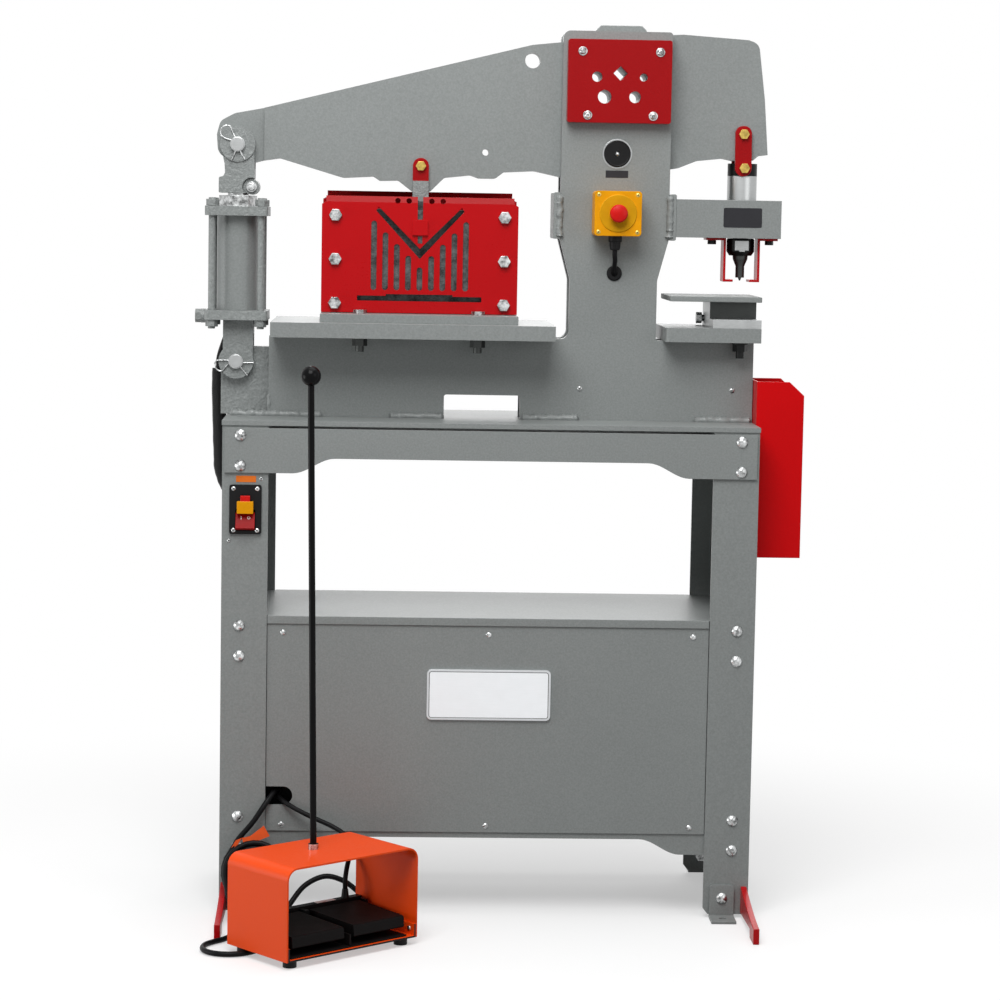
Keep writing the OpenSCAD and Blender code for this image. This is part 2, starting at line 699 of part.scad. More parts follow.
module shear_base_plate() {
    color(machine_grey) difference() {
        block(shear_x - guard_w / 2, shear_x + guard_w / 2, -shear_base_d / 2 - 5,
            shear_base_d / 2 - 5, table_top, shear_base_top);
        for (x = table_bolt_x) for (s = [-1, 1])
            rod_z(x, s * table_bolt_y, table_bolt_d / 2 + bolt_gap, table_top - eps, shear_base_top + eps);
    }
}
cheek_x = guard_w / 2 - guard_t;
blade_half = cheek_x - cheek_w - slide_gap;
guard_top = shear_base_top + guard_h;
module guard_bores(y0, y1) {
    for (s = [-1, 1]) for (k = guard_bolt_z)
        rod_y(shear_x + s * guard_bolt_x, shear_base_top + k * guard_h, guard_bolt_d / 2 + bolt_gap,
            y0, y1);
}
module shear_cheeks() {
    color(machine_grey) difference() {
        for (s = [-1, 1]) translate([shear_x, 0, 0]) scale_sign(s, 1)
            block(cheek_x - cheek_w, cheek_x, -guard_y, guard_y, shear_base_top, guard_top - 4);
        guard_bores(-guard_y - eps, -guard_y + 26);
        guard_bores(guard_y - 26, guard_y + eps);
    }
}
// Angle-bar opening: a bent strip with its point down
module vee(half, rise, w, tip_z) {
    drop = w / sin(atan2(half, rise));
    polygon([[0, tip_z], [half, tip_z + rise], [half - w * 0.35, tip_z + rise + w * 0.6], [0,
        tip_z + drop],
        [-half + w * 0.35, tip_z + rise + w * 0.6], [-half, tip_z + rise]]);
}
vee_tip = 84;
vee_half = 74;
vee_rise = 80;
bar_slot_z = 21;
fixed_y = -guard_y;
moving_y = -guard_y + blade_t + 1.7;
module fixed_blade() {
    t = moving_y - fixed_y - slide_gap;
    color(steel) translate([shear_x, fixed_y + t, shear_base_top]) rotate([90, 0, 0]) linear_extrude(t)
        difference() {
            translate([-blade_half - slide_gap, 0]) square([2 * blade_half + 2 * slide_gap, guard_h - 12]);
            vee(vee_half, vee_rise, vee_w, vee_tip + 8);
            translate([-bar_slot_w / 2, bar_slot_z]) square([bar_slot_w, bar_slot_h + 3]);
        }
}
blade_low = 7;
blade_rise = 52;
blade_h = 168;
hanger_w = 27;
hanger_z = guard_top + 36;
module moving_blade() {
    yoke_y = beam_t / 2 + slide_gap + strap_t;
    z0 = shear_base_top + blade_low;
    z1 = z0 + blade_h;
    strap = soften([[-hanger_w / 2, z1, 0], [hanger_w / 2, z1, 0], [hanger_w / 2, shear_bolt_z + 13.5, 13],
        [-hanger_w / 2, shear_bolt_z + 13.5, 13]]);
    color(steel) difference() {
        union() {
            translate([shear_x, 0, 0]) block(-blade_half, blade_half, moving_y, moving_y + blade_t, z0,
                z1);
            translate([shear_x, 0, 0]) block(-hanger_w / 2, hanger_w / 2, moving_y, yoke_y, z1 - 20,
                z1 + 14);
        }
        translate([shear_x, moving_y + blade_t + eps, z0]) rotate([90, 0, 0])
            linear_extrude(blade_t + 2 * eps)
            vee(vee_half - 20, vee_rise - 20, vee_w, vee_tip + 8 - blade_rise - blade_low);
    }
    color(guard_red) translate([shear_x, 0, 0]) difference() {
        for (s = [-1, 1]) slab(s > 0 ? strap_y : -strap_y - strap_t, s > 0 ? strap_y + strap_t : -strap_y,
            [for (p = strap) [p[0], max(p[1], z1 + (s > 0 ? 14.05 : 14.05))]]);
        rod_y(0, shear_bolt_z, link_bolt_d / 2 + run_gap, -50, 50);
    }
    color(zinc) link_bolt(shear_x, shear_bolt_z);
}
module link_bolt(x, z) {
    reach = strap_y + strap_t;
    rod_y(x, z, link_bolt_d / 2, -reach, reach);
    for (s = [0, 1]) mirror([0, s, 0]) translate([x, -reach - 0.1, z]) rotate([90, 0, 0])
        hex_head(15.5, 6.5);
    rod_y(x, z, link_bolt_d / 2, -reach - eps, reach + eps);
}
slot_low = 39;
module guard_face(top, open) {
    difference() {
        polygon([[-guard_w / 2, 1], [guard_w / 2, 1], [guard_w / 2, top - 4], [guard_w / 2 - 7, top],
            [-guard_w / 2 + 7, top], [-guard_w / 2, top - 4]]);
        if (open) vee(vee_half, vee_rise, vee_w, vee_tip + 8);
        translate([-bar_slot_w / 2, bar_slot_z]) square([bar_slot_w, bar_slot_h]);
        translate([-bar_slot_w / 4 - 4, bar_slot_z]) square([bar_slot_w / 2 + 8, bar_slot_h + 3]);
        for (i = [0 : slot_count - 1]) {
            k = i - (slot_count - 1) / 2;
            high = vee_tip - 6 + abs(k) * slot_pitch - slot_w / 2;
            translate([k * slot_pitch - slot_w / 2, slot_low + slot_w / 2]) square([slot_w,
                high - slot_low - slot_w / 2]);
            for (z = [slot_low + slot_w / 2, high]) translate([k * slot_pitch, z]) circle(slot_w / 2);
        }
    }
}
module top_holes() {
    for (x = [-38, -19, 19, 38]) rod_y(x, guard_h + 3, 4.6, -guard_y - 2 * guard_t, -guard_y + 12);
}
// The front guard has the angle opening and a row of holes, and the rear guard is closed there
module shear_guard(top, open) {
    translate([shear_x, 0, shear_base_top]) {
        difference() {
            union() {
                translate([0, -guard_y, 0]) rotate([90, 0, 0]) linear_extrude(guard_t) guard_face(top, open);
                for (s = [-1, 1]) scale_sign(s, 1)
                    block(cheek_x + 0.2, guard_w / 2, -guard_y - guard_t, -guard_y + 22, 1, top - 4);
            }
            translate([0, 0, -shear_base_top]) translate([-shear_x, 0, 0])
                guard_bores(-guard_y - 2 * guard_t, -guard_y + eps);
            block(-4.5, 4.5, -guard_y - 2 * guard_t, -guard_y + eps, guard_h - 28, top + eps);
            block(-4, 4, -guard_y - 2 * guard_t, -guard_y + eps, vee_tip + 34, vee_tip + 46);
            if (open) top_holes();
        }
        difference() {
            translate([guard_w / 2 - 7, 0, 0]) rotate([90, 0, -90]) linear_extrude(guard_w - 14)
                polygon([[guard_y, top - 0.5], [guard_y + guard_t, top - 0.5], [guard_y + guard_t - 7,
                    top + 10], [guard_y - 7, top + 10]]);
            block(-4.5, 4.5, -guard_y - 2 * guard_t, -guard_y + 10, top - 2, top + 12);
            if (open) top_holes();
        }
        block(-13, 13, -guard_y - guard_t - 5, -guard_y - guard_t + 0.5, vee_tip + 48, vee_tip + 73);
    }
}
module shear_guard_front() { color(guard_red) shear_guard(guard_h, true); }
module shear_guard_rear() { color(guard_red) mirror([0, 1, 0]) shear_guard(guard_h + 9, false); }
module guard_bolts() {
    color(zinc) for (t = [0, 1]) mirror([0, t, 0]) for (s = [-1, 1]) for (k = guard_bolt_z)
        translate([shear_x + s * guard_bolt_x, -guard_y - guard_t - 0.2, shear_base_top + k * guard_h]) {
            rotate([90, 0, 0]) hex_head(19, 7);
            rod_y(0, 0, guard_bolt_d / 2, -1, guard_t + 24);
        }
    color(zinc) for (p = rod_guard_screws)
        translate([column_x + p[0], -plate_out - rod_guard_d - 0.2, column_top - p[1]]) {
            rotate([90, 0, 0]) cylinder(r = 7.6, h = 1.6);
            rotate([90, 0, 0]) translate([0, 0, 1]) difference() {
                dome(6, 4.5);
                translate([0, 0, 1.5]) hex_head(4, 4);
            }
            rod_y(0, 0, 3, -1, rod_guard_d + 16);
        }
}

// Punch station
arm_x0 = column_r + bar_w;
arm_z0 = bar_z + 6;
arm_z1 = arm_z0 + arm_h;
module punch_arm() {
    color(machine_grey) difference() {
        block(arm_x0, arm_x0 + arm_l, -arm_d / 2, arm_d / 2, arm_z0, arm_z1);
        rod_z(punch_x, 0, ram_d / 2 + run_gap, arm_z0 - eps, arm_z1 + eps);
        for (s = [-1, 1]) rod_z(punch_x + s * stripper_bolt_x, 0, 4 + bolt_gap, arm_z0 - eps, arm_z0 + 20);
    }
}
stripper_bolt_x = 49;
stripper_t = 4;
stripper_d = 44;
die_stack_h = 53;
die_top = bed_z + die_bed_t + die_stack_h;
punch_tip = die_top + throat_h;
module strippers() {
    z1 = arm_z0;
    z0 = punch_tip - 2;
    half = [[27, z1], [61, z1], [61, z1 - stripper_t], [27 + stripper_t, z1 - stripper_t],
        [27 + stripper_t, z0], [14, z0],
        [14, z0 + stripper_t], [27, z0 + stripper_t]];
    color(guard_red) for (s = [-1, 1]) translate([punch_x, 0, 0]) scale_sign(s, 1) difference() {
        slab(-stripper_d / 2, stripper_d / 2, half);
        rod_z(stripper_bolt_x, 0, 4 + bolt_gap, z1 - 2 * stripper_t, z1 + eps);
    }
    color(dark_steel) for (s = [-1, 1]) translate([punch_x + s * stripper_bolt_x, 0,
        z1 - stripper_t - 7.2]) {
        hex_head(13, 7);
        cylinder(r = 4, h = 24);
    }
}
die_bed_x0 = column_x + neck_w / 2 + 12;
module die_bed() {
    x1 = frame_right + 6;
    y = die_bed_d / 2;
    color(machine_grey) difference() {
        translate([0, 0, bed_z]) linear_extrude(die_bed_t) polygon(soften([[die_bed_x0, -y, 7],
            [x1, -y, 1], [x1, y, 1], [die_bed_x0, y, 7]]));
        rod_z(punch_x, 0, 13, bed_z - eps, bed_z + die_bed_t + eps);
        for (s = [-1, 1]) rod_z(punch_x - 4, s * die_bolt_y, table_bolt_d / 2 + bolt_gap, bed_z - eps,
            bed_z + die_bed_t + eps);
    }
}
die_seat_z = bed_z + die_bed_t + 14 + 6;
module die_holder() {
    z0 = bed_z + die_bed_t;
    z2 = die_top - punch_table_t;
    color(machine_grey) difference() {
        union() {
            block(punch_x - 54, punch_x + 28, -92, 75, z0, z0 + 15);
            block(punch_x - 54, punch_x + 25, -42, 70, z0 + 15, z2);
            rod_x(58, z0 + 12.5, 6, punch_x - 58, punch_x - 53);
            translate([punch_x - 67, 58, z0 + 12.5]) rotate([0, 90, 0]) hex_head(17, 10);
        }
        rod_z(punch_x, 0, die_d / 2 + run_gap, die_seat_z, z2 + eps);
        rod_z(punch_x, 0, 11, z0 - eps, z2 + eps);
        for (s = [-1, 1]) rod_z(punch_x - 4, s * die_bolt_y, table_bolt_d / 2 + bolt_gap, z0 - eps,
            z0 + 9.3);
    }
}
module die() {
    color(dark_steel) difference() {
        rod_z(punch_x, 0, die_d / 2, die_seat_z, die_top);
        rod_z(punch_x, 0, punch_d / 2 + die_gap, die_seat_z - eps, die_top + eps);
    }
}
module punch_table() {
    x0 = column_x + neck_w / 2 + 4;
    x1 = x0 + punch_table_w;
    y = punch_table_d / 2;
    color(machine_grey) difference() {
        translate([0, 0, die_top - punch_table_t]) linear_extrude(punch_table_t)
            polygon(soften([[x0 + 15, -y, 3], [x1, -y, 2], [x1, y, 2], [x0 + 15, y, 3]]));
        rod_z(punch_x, 0, die_d / 2 + run_gap, die_top - punch_table_t - eps, die_top + eps);
    }
}
module punch_ram() {
    z1 = link_low_z + 8;
    nut_top = arm_z0 - 0.6;
    color(steel) difference() {
        union() {
            rod_z(punch_x, 0, ram_d / 2, arm_z0, z1);
            rod_z(punch_x, 0, 13, nut_top - 1, arm_z0 + eps);
        }
        for (s = [0, 1]) mirror([0, s, 0])
            block(punch_x - ram_d, punch_x + ram_d, -ram_d, -beam_t / 2, link_low_z - 15, z1 + eps);
        rod_y(punch_x, link_low_z, link_bolt_d / 2 + run_gap, -ram_d, ram_d);
    }
    color(dark_steel) difference() {
        translate([punch_x, 0, 0]) rotate_extrude() polygon([[0, nut_top], [22, nut_top], [23.6,
            nut_top - 2],
            [23.6, nut_top - 22], [19, nut_top - 29], [0, nut_top - 29]]);
        for (s = [0, 1]) mirror([0, s, 0]) block(punch_x - 30, punch_x + 30, -40, -20.5, nut_top - 20,
            nut_top - 4);
    }
}
module punch() {
    z1 = arm_z0 - 0.6 - 29;
    r = punch_d / 2;
    color(dark_steel) translate([punch_x, 0, 0]) rotate_extrude()
        polygon([[0, punch_tip], [1.2, punch_tip], [3, punch_tip + 5], [r, punch_tip + 5], [r,
            z1 - 18], [r + 5, z1 - 6],
            [r + 5.5, z1], [0, z1]]);
}
module punch_links() {
    low = [link_x, link_low_z];
    strap = soften([[link_x - 14, link_low_z - 14, 13.9], [link_x + 14, link_low_z - 14, 13.9],
        [link_x + 13, link_high_z + 14, 13], [link_x - 15, link_high_z + 14, 13]]);
    color(guard_red) for (s = [0, 1]) mirror([0, s, 0]) difference() {
        slab(-strap_y - strap_t, -strap_y, strap);
        for (z = [link_low_z, link_high_z]) rod_y(link_bolt_x(z), z, link_bolt_d / 2 + run_gap, -50, 50);
    }
    color(zinc) for (z = [link_low_z, link_high_z]) link_bolt(link_bolt_x(z), z);
}
function link_bolt_x(z) = z == link_low_z ? punch_x : punch_x - 2;
module rod_shear_guard() {
    x0 = column_x + 2 - rod_guard_w / 2;
    z1 = column_top - 15;
    y0 = -plate_out - rod_guard_d;
    outline = soften([[x0, z1 - rod_guard_h, 4], [x0 + rod_guard_w, z1 - rod_guard_h, 4],
        [x0 + rod_guard_w, z1, 4], [x0, z1, 4]]);
    color(guard_red) difference() {
        slab(y0, -plate_out, outline);
        block(x0 + 3, x0 + rod_guard_w - 3, y0 + 3, -plate_out + eps, z1 - rod_guard_h + 3, z1 - 3);
        rod_bores(y0 - eps, y0 + 5, 0);
        for (p = rod_guard_screws) rod_y(column_x + p[0], column_top - p[1], 3 + bolt_gap, y0 - eps,
            y0 + 5);
    }
}

// Controls
estop_x = column_x + 1;
estop_z = shoulder_z + 44;
estop_y = -plate_out - estop_d;
stem_d = 22;
module estop_box() {
    outline = soften([[-estop_w / 2, -estop_h / 2, 6], [estop_w / 2, -estop_h / 2, 6], [estop_w / 2,
        estop_h / 2, 6],
        [-estop_w / 2, estop_h / 2, 6]]);
    color(safety_yellow) translate([estop_x, 0, estop_z]) difference() {
        union() {
            slab(estop_y, -plate_out, outline);
            rod_y(0, 0, 31, estop_y - 2, estop_y + eps);
        }
        rod_y(0, 0, stem_d / 2 + run_gap, estop_y - 3, estop_y + 30);
    }
}
gland_x = estop_x - 2;
cable_d = 8;
module estop_cable() {
    z1 = estop_z - estop_h / 2;
    y = estop_y + 30;
    end_z = z1 - 63;
    route = [[gland_x, y, z1 - 24], [gland_x, y, z1 - 32], [gland_x + 1, y + 5, z1 - 42], [gland_x + 1,
        y + 14, z1 - 51],
        [gland_x + 2, -plate_out - 10, end_z + 2], [gland_x + 2, -plate_out - 4, end_z]];
    color(black) {
        rod_z(gland_x, y, 11.5, z1 - 10, z1);
        translate([gland_x, y, z1 - 24]) cylinder(r1 = 7, r2 = 9.5, h = 14.5);
        tube(smooth(route, 3), cable_d / 2, 10, [1, 0, 0]);
        translate([gland_x + 2, -plate_out, end_z]) rotate([90, 0, 0]) rotate_extrude()
            polygon([[0, 0], [13, 0], [13, 2.5], [10, 4.5], [0, 4.5]]);
    }
}
module estop_button() {
    z_gap = button_travel + 1.5;
    color([0.85, 0.07, 0.05]) translate([estop_x, estop_y - 2, estop_z]) rotate([90, 0, 0])
        rotate_extrude()
        polygon([[0, -20], [stem_d / 2, -20], [stem_d / 2, z_gap + 0.5], [button_d / 2 - 1, z_gap],
            [button_d / 2, z_gap + 1],
            [button_d / 2, z_gap + 9], [button_d / 2 - 2, z_gap + 12], [6, z_gap + 14], [0,
                z_gap + 14.2]]);
}
switch_x = -half_w + leg_flange_w / 2 + 1;
switch_z = stand_h - 139;
switch_t = 5;
key_z = switch_z - 5;
well_d = 26;
module switch_cutout() {
    block(switch_x - 19, switch_x + 19, -half_d - eps, -half_d + leg_sheet + eps, switch_z - 37,
        switch_z + 29);
}
// The plate carries a well for the paddle and a socket for the key's stem
module switch_plate() {
    outline = soften([[-switch_w / 2, -switch_h / 2, 4], [switch_w / 2, -switch_h / 2, 4],
        [switch_w / 2, switch_h / 2, 4], [-switch_w / 2, switch_h / 2, 4]]);
    color(black) translate([switch_x, 0, switch_z]) {
        difference() {
            union() {
                slab(-half_d - switch_t, -half_d, outline);
                block(-18.5, 18.5, -half_d - eps, -half_d + well_d + 4, -36.5, 28.5);
            }
            block(-16.5, 16.5, -half_d - switch_t - eps, -half_d + well_d, -35, -0.5);
            block(-stem_w / 2 - slide_gap, stem_w / 2 + slide_gap, -half_d - switch_t - eps,
                -half_d + well_d, 4 - slide_gap, 14 + slide_gap);
        }
        for (s = [0, 1]) mirror([s, 0, 0]) rod_x(-half_d + 6, -6, 2, 5, 17);
    }
}
// Red paddle that hinges on the two studs in the well
module switch_paddle() {
    side = [[-half_d + 6, -10], [-half_d + 9, -6], [-half_d + 6, -2], [-half_d + 2, -3],
        [-half_d - 6, -8], [-half_d - 16, -30], [-half_d - 13, -33], [-half_d - 1, -31], [-half_d + 2, -12]];
    color([0.75, 0.05, 0.05]) translate([switch_x, 0, switch_z]) difference() {
        translate([-15.8, 0, 0]) rotate([90, 0, 90]) linear_extrude(31.6) polygon(side);
        rod_x(-half_d + 6, -6, 2 + run_gap, -17, 17);
        for (s = [-1, 1]) translate([s * 14, 0, 0]) block(-3, 3, -half_d + 0.5, -half_d + 12, -12, 0);
    }
}
stem_w = 10;
module switch_key() {
    y1 = -half_d - switch_t - 0.2;
    color(safety_yellow) translate([switch_x, 0, switch_z]) {
        block(-13.5, 13.5, y1 - 12, y1, -6, 14);
        block(-stem_w / 2, stem_w / 2, y1 - eps, -half_d + well_d - 2, 4, 14);
        block(-8, 8, y1 - 10, y1 - 3, 13.5, 23.5);
    }
}

// Power unit inside the cabinet
floor_top = panel_z + cabinet_sheet;
tank_x0 = 40;
tank_w = 300;
tank_h = 150;
motor_x = tank_x0 + 40;
term_y = -102;
motor_l = 190;
motor_r = 76;
motor_z = floor_top + tank_h + motor_r + 12;
module oil_tank() {
    color(dark_steel) difference() {
        block(tank_x0, tank_x0 + tank_w, -105, 105, floor_top, floor_top + tank_h);
        block(tank_x0 + 3, tank_x0 + tank_w - 3, -102, 102, floor_top + 3, floor_top + tank_h - 3);
        rod_z(tank_x0 + 260, 60, 14, floor_top + tank_h - 4, floor_top + tank_h + eps);
    }
    color(black) rod_z(tank_x0 + 260, 60, 13.9, floor_top + tank_h - 3, floor_top + tank_h + 22);
}
// Motor with its pump, and the terminal box that both cords come out of
module pump_motor() {
    color(dark_steel) difference() {
        union() {
            rod_x(0, motor_z, motor_r, motor_x, motor_x + motor_l);
            block(motor_x + 20, motor_x + motor_l - 20, -60, 60, floor_top + tank_h, motor_z - 30);
            block(motor_x + motor_l, motor_x + motor_l + 60, -35, 35, motor_z - 35, motor_z + 35);
        }
        rod_x(0, motor_z, motor_r - 6, motor_x + 6, motor_x + motor_l - 6);
        rod_x(0, motor_z, 10 + run_gap, motor_x - eps, motor_x + motor_l + 30);
    }
    color(dark_steel) {
        block(-390, -310, term_y, term_y + 60, floor_top, floor_top + 90);
        rod_y(-348, 212, 6.4, term_y - 10, term_y + eps);
        rod_y(-350, 198, 6.4, term_y - 10, term_y + eps);
    }
}
module motor_rotor() {
    color(steel) {
        rod_x(0, motor_z, 10, motor_x - 18, motor_x + motor_l + 28);
        rod_x(0, motor_z, motor_r - 14, motor_x + 16, motor_x + motor_l - 16);
    }
}
// Hose in its sleeve, from the cylinder's rear port to the slot in the left leg
hose_y = 46;
hose_top = cyl_base_z - 17;
hose_out = -max(base_w / 2, half_w) - hose_d / 2 - 5.5;
hose_route = [[-half_w + 32, hose_y, hose_hole_z - 45], [-half_w + 21, hose_y, hose_hole_z - 31],
    [-half_w + 8.5, hose_y, hose_hole_z - 13], [-half_w - 1, hose_y, hose_hole_z + 4],
    [-half_w - 9.5, hose_y, hose_hole_z + 22], [-half_w - 14.5, hose_y, hose_hole_z + 42],
    [-half_w - 15.5, hose_y, hose_hole_z + 70], [hose_out + 1.5, hose_y, hose_hole_z + 120],
    [hose_out, hose_y, hose_hole_z + 190], [hose_out + 0.8, hose_y, hose_hole_z + 212]];
hose_end = [[hose_out + 0.8, hose_y, hose_hole_z + 212.2], [hose_out + 2, hose_y, hose_hole_z + 230],
    [hose_x - 6, hose_y, hose_top - 26], [hose_x, hose_y, hose_top - 9], [hose_x, hose_y, hose_top]];
// The sleeve ends below the cylinder, and the bare hose goes on to the port
module hose_sleeve() {
    color(black) tube(smooth(hose_route, 2), hose_d / 2, 12);
    color(black) tube(smooth(hose_end, 2), hose_d / 4, 12);
}

// Foot switch, drawn square and then turned into place
foot_x = -318;
foot_y = -527;
foot_z1 = foot_feet_h + foot_h;
module on_foot() {
    translate([foot_x, foot_y, 0]) rotate([0, 0, foot_yaw]) children();
}
module foot_guard() {
    z0 = foot_feet_h;
    outer = soften([[0, z0, 0], [0, foot_z1, foot_bend], [foot_w, foot_z1, foot_bend], [foot_w, z0, 0]]);
    inner = soften([[foot_sheet, z0 - eps, 0], [foot_sheet, foot_z1 - foot_sheet, foot_bend - foot_sheet],
        [foot_w - foot_sheet, foot_z1 - foot_sheet, foot_bend - foot_sheet], [foot_w - foot_sheet,
            z0 - eps, 0]]);
    color(orange) on_foot() difference() {
        slab(0, foot_d, outer);
        slab(-eps, foot_d + eps, inner);
        rod_z(carry_x, carry_y, 4 + bolt_gap, foot_z1 - 2 * foot_sheet, foot_z1 + eps);
    }
}
carry_x = foot_w / 2 - 11;
carry_y = foot_d - 64;
carry_lean = 0.9;
pan_x = foot_sheet + 0.2;
hinge_y = foot_d - 30;
hinge_z = foot_feet_h + 34;
lug_w = [6, 8, 6];
lug_x = [pan_x + foot_sheet + 1, foot_w / 2 - 4, foot_w - pan_x - foot_sheet - 7];
pedal_gap = 6;
gland_foot_x = foot_w - 37;
gland_foot_y = hinge_y + 15.5;
gland_foot_z = hinge_z + 10;
gland_foot_h = 14;
module foot_base() {
    z0 = foot_feet_h;
    color(orange) on_foot() {
        block(pan_x, foot_w - pan_x, 0, foot_d, z0, z0 + foot_sheet);
        for (x = [pan_x, foot_w - pan_x - foot_sheet]) block(x, x + foot_sheet, 0, foot_d, z0, z0 + 22);
    }
    color(black) on_foot() difference() {
        union() {
            block(pan_x + foot_sheet + 1, foot_w - pan_x - foot_sheet - 1, hinge_y + 9, hinge_y + 22,
                z0 + foot_sheet, hinge_z + 10);
            for (i = [0 : 2]) block(lug_x[i], lug_x[i] + lug_w[i], hinge_y - 7, hinge_y + 9 + eps,
                z0 + foot_sheet, hinge_z + 7);
        }
        rod_x(hinge_y, hinge_z, 3 + run_gap, 0, foot_w);
    }
    color(black) on_foot() translate([gland_foot_x, gland_foot_y, gland_foot_z])
        cylinder(r1 = 6.4, r2 = 5, h = gland_foot_h);
    color(black) on_foot() for (x = [20, foot_w - 20]) for (y = [18, foot_d - 18]) rod_z(x, y, 11, 0, z0);
}
pedal_side = soften([[hinge_y - 6, hinge_z - 6, 4], [hinge_y + 6, hinge_z - 6, 4],
    [hinge_y + 6, hinge_z + 6, 5], [12, hinge_z + 2, 4], [10, hinge_z - 17, 3], [30, hinge_z - 18, 3]]);
// A pedal fills the space between two lugs, and its axle turns in them
module foot_pedal(i) {
    x0 = lug_x[i] + lug_w[i] + pedal_gap;
    x1 = lug_x[i + 1] - pedal_gap;
    color(black) on_foot() {
        translate([x0, 0, 0]) rotate([90, 0, 90]) linear_extrude(x1 - x0) polygon(pedal_side);
        rod_x(hinge_y, hinge_z, 3, x0 - pedal_gap - 3.5, x1 + pedal_gap + 3.5);
    }
}
module foot_pedal_left() { foot_pedal(0); }
module foot_pedal_right() { foot_pedal(1); }
// The rod leans a little to the left, as seen from the front
module carry_rod() {
    color(black) on_foot() translate([carry_x, carry_y, foot_z1]) {
        rod_z(0, 0, 4, -foot_sheet - 10, eps);
        rod_z(0, 0, carry_d / 2 + 3, 0.2, 9);
        rotate([0, 0, -foot_yaw]) rotate([0, -carry_lean, 0]) {
            rod_z(0, 0, carry_d / 2, 0.2, carry_l);
            translate([0, 0, carry_l + knob_d * 0.42]) sphere(knob_d / 2);
        }
    }
    color(zinc) on_foot() translate([carry_x, carry_y, foot_z1 - foot_sheet - 8.2]) hex_head(13, 8);
}

// Cords
lead_r = lead_d / 2;
foot_cord_end = [foot_x + gland_foot_x * cos(foot_yaw) - gland_foot_y * sin(foot_yaw),
    foot_y + gland_foot_x * sin(foot_yaw) + gland_foot_y * cos(foot_yaw), gland_foot_z + gland_foot_h];
foot_cord_route = [foot_cord_end, foot_cord_end + [0, 1, 16], [-230, -264, 103], [-226, -246, 121],
    [-226, -224, 136], [-237, -205, 147], [-259, -194, 158], [-287, -187, 169], [-315, -179, 181],
    [-335, -167, 190.5], [-346, -151, 195.5], [-350, -132, 197.5], [-350, -112, 198]];
module foot_cord() {
    color(black) tube(smooth(foot_cord_route, 2), foot_cord_d / 2, 8);
    echo(foot_cord_length = run_length(smooth(foot_cord_route, 12)));
}
// Coil of the power lead: it spirals in, climbs a layer in half a turn, and spirals out again
coil_step = lead_d + coil_gap;
coil_mid = 45;
coil_out = coil_mid + coil_step * coil_turns / 2;
coil_start = 140;
coil_end_turns = coil_turns - 1 / 3;
coil_rings = 24;
coil_at = [-382, -206, 80];
coil_lean = 70;
function on_coil(p) = coil_at + [p[0], p[1] * cos(coil_lean) - p[2] * sin(coil_lean),
    p[1] * sin(coil_lean) + p[2] * cos(coil_lean)];
coil_mid_turn = coil_turns + 0.25;
function coil_radius(t) = coil_out - coil_step * (t < coil_mid_turn ? t : 2 * coil_mid_turn - t);
function coil_height(t) = let (k = max(0, min(1, (t - coil_turns) / 0.5))) coil_step * k * k * (3 - 2 * k);
function coil_point(t) = let (a = coil_start + 360 * t, r = coil_radius(t)) [r * cos(a), r * sin(a),
    coil_height(t)];
coil_total = coil_turns + 0.5 + coil_end_turns;
coil_count = round(coil_total * coil_rings);
coil_path = [for (i = [0 : coil_count])
    on_coil(coil_point(i / coil_rings * coil_total * coil_rings / coil_count))];
coil_first = coil_path[0] + unit(coil_path[0] - coil_path[1]) * lead_d;
coil_last = coil_path[coil_count] + unit(coil_path[coil_count] - coil_path[coil_count - 1]) * lead_d;
coil_tube = concat([coil_first], coil_path, [coil_last]);
function least_gap(p) = min([for (i = [0 : len(p) - 1]) for (j = [i + 12 : 1 : len(p) - 1])
    norm(p[i] - p[j])]) - lead_d;
module power_coil() {
    color(black) tube(coil_tube, lead_r, 6);
    echo(coil_least_gap = least_gap(coil_tube), coil_length = run_length(coil_tube));
}
// The lead's free stretches: cabinet notch to coil, and coil to plug along the floor
lead_in = unit(coil_path[1] - coil_path[0]);
lead_out = unit(coil_last - coil_path[coil_count]);
plug_from = [-167, -176, 13];
plug_dir = unit([0.74, 0.67, 0]);
lead_a = [[-348, -112, 212], [-348, -131, 212], [-353, -151, 208], [-362, -168, 198], [-374, -178, 181],
    [-389, -183, 159], coil_first - 17 * lead_in, coil_first];
lead_b = [coil_last, coil_last + 18 * lead_out, [-417.5, -238.5, 25], [-414, -252, 11], [-411, -271, 5.5],
    [-410, -298, 5], [-414, -328, 5], [-425, -352, 5], [-440, -369, 5], [-452, -386, 5], [-456, -407, 5],
    [-450, -428, 5], [-435, -442, 5], [-415, -447, 5], [-394, -443, 5], [-377, -431, 5], [-364, -413, 5],
    [-355, -390, 5], [-349, -362, 5], [-345, -328, 5], [-342, -292, 5], [-339, -258, 6], [-334, -228, 14],
    [-322, -206, 31], [-300, -192, 56], [-268, -186, 70], [-237, -186, 63], [-211, -188, 44],
    [-193, -189, 26], [-179, -184, 15.5], plug_from];
module power_cord() {
    color(black) {
        tube(smooth(lead_a, 2), lead_r, 8);
        tube(smooth(lead_b, 2), lead_r, 8);
    }
    echo(lead_a_length = run_length(smooth(lead_a, 12)), lead_b_length = run_length(smooth(lead_b, 12)));
}
module power_plug() {
    color(black) translate(plug_from) rotate([0, 0, atan2(plug_dir[1], plug_dir[0])]) rotate([0, 90, 0]) {
        cylinder(r1 = 6, r2 = 8.5, h = 20);
        translate([0, 0, 20]) cylinder(r = 12.5, h = 24);
    }
    color(zinc) translate(plug_from) rotate([0, 0, atan2(plug_dir[1], plug_dir[0])]) {
        for (s = [-1, 1]) block(44.2, 62, s * 6.3 - 0.8, s * 6.3 + 0.8, -1, 5.5);
        rod_x(0, -6, 2.4, 44.2, 64);
    }
}

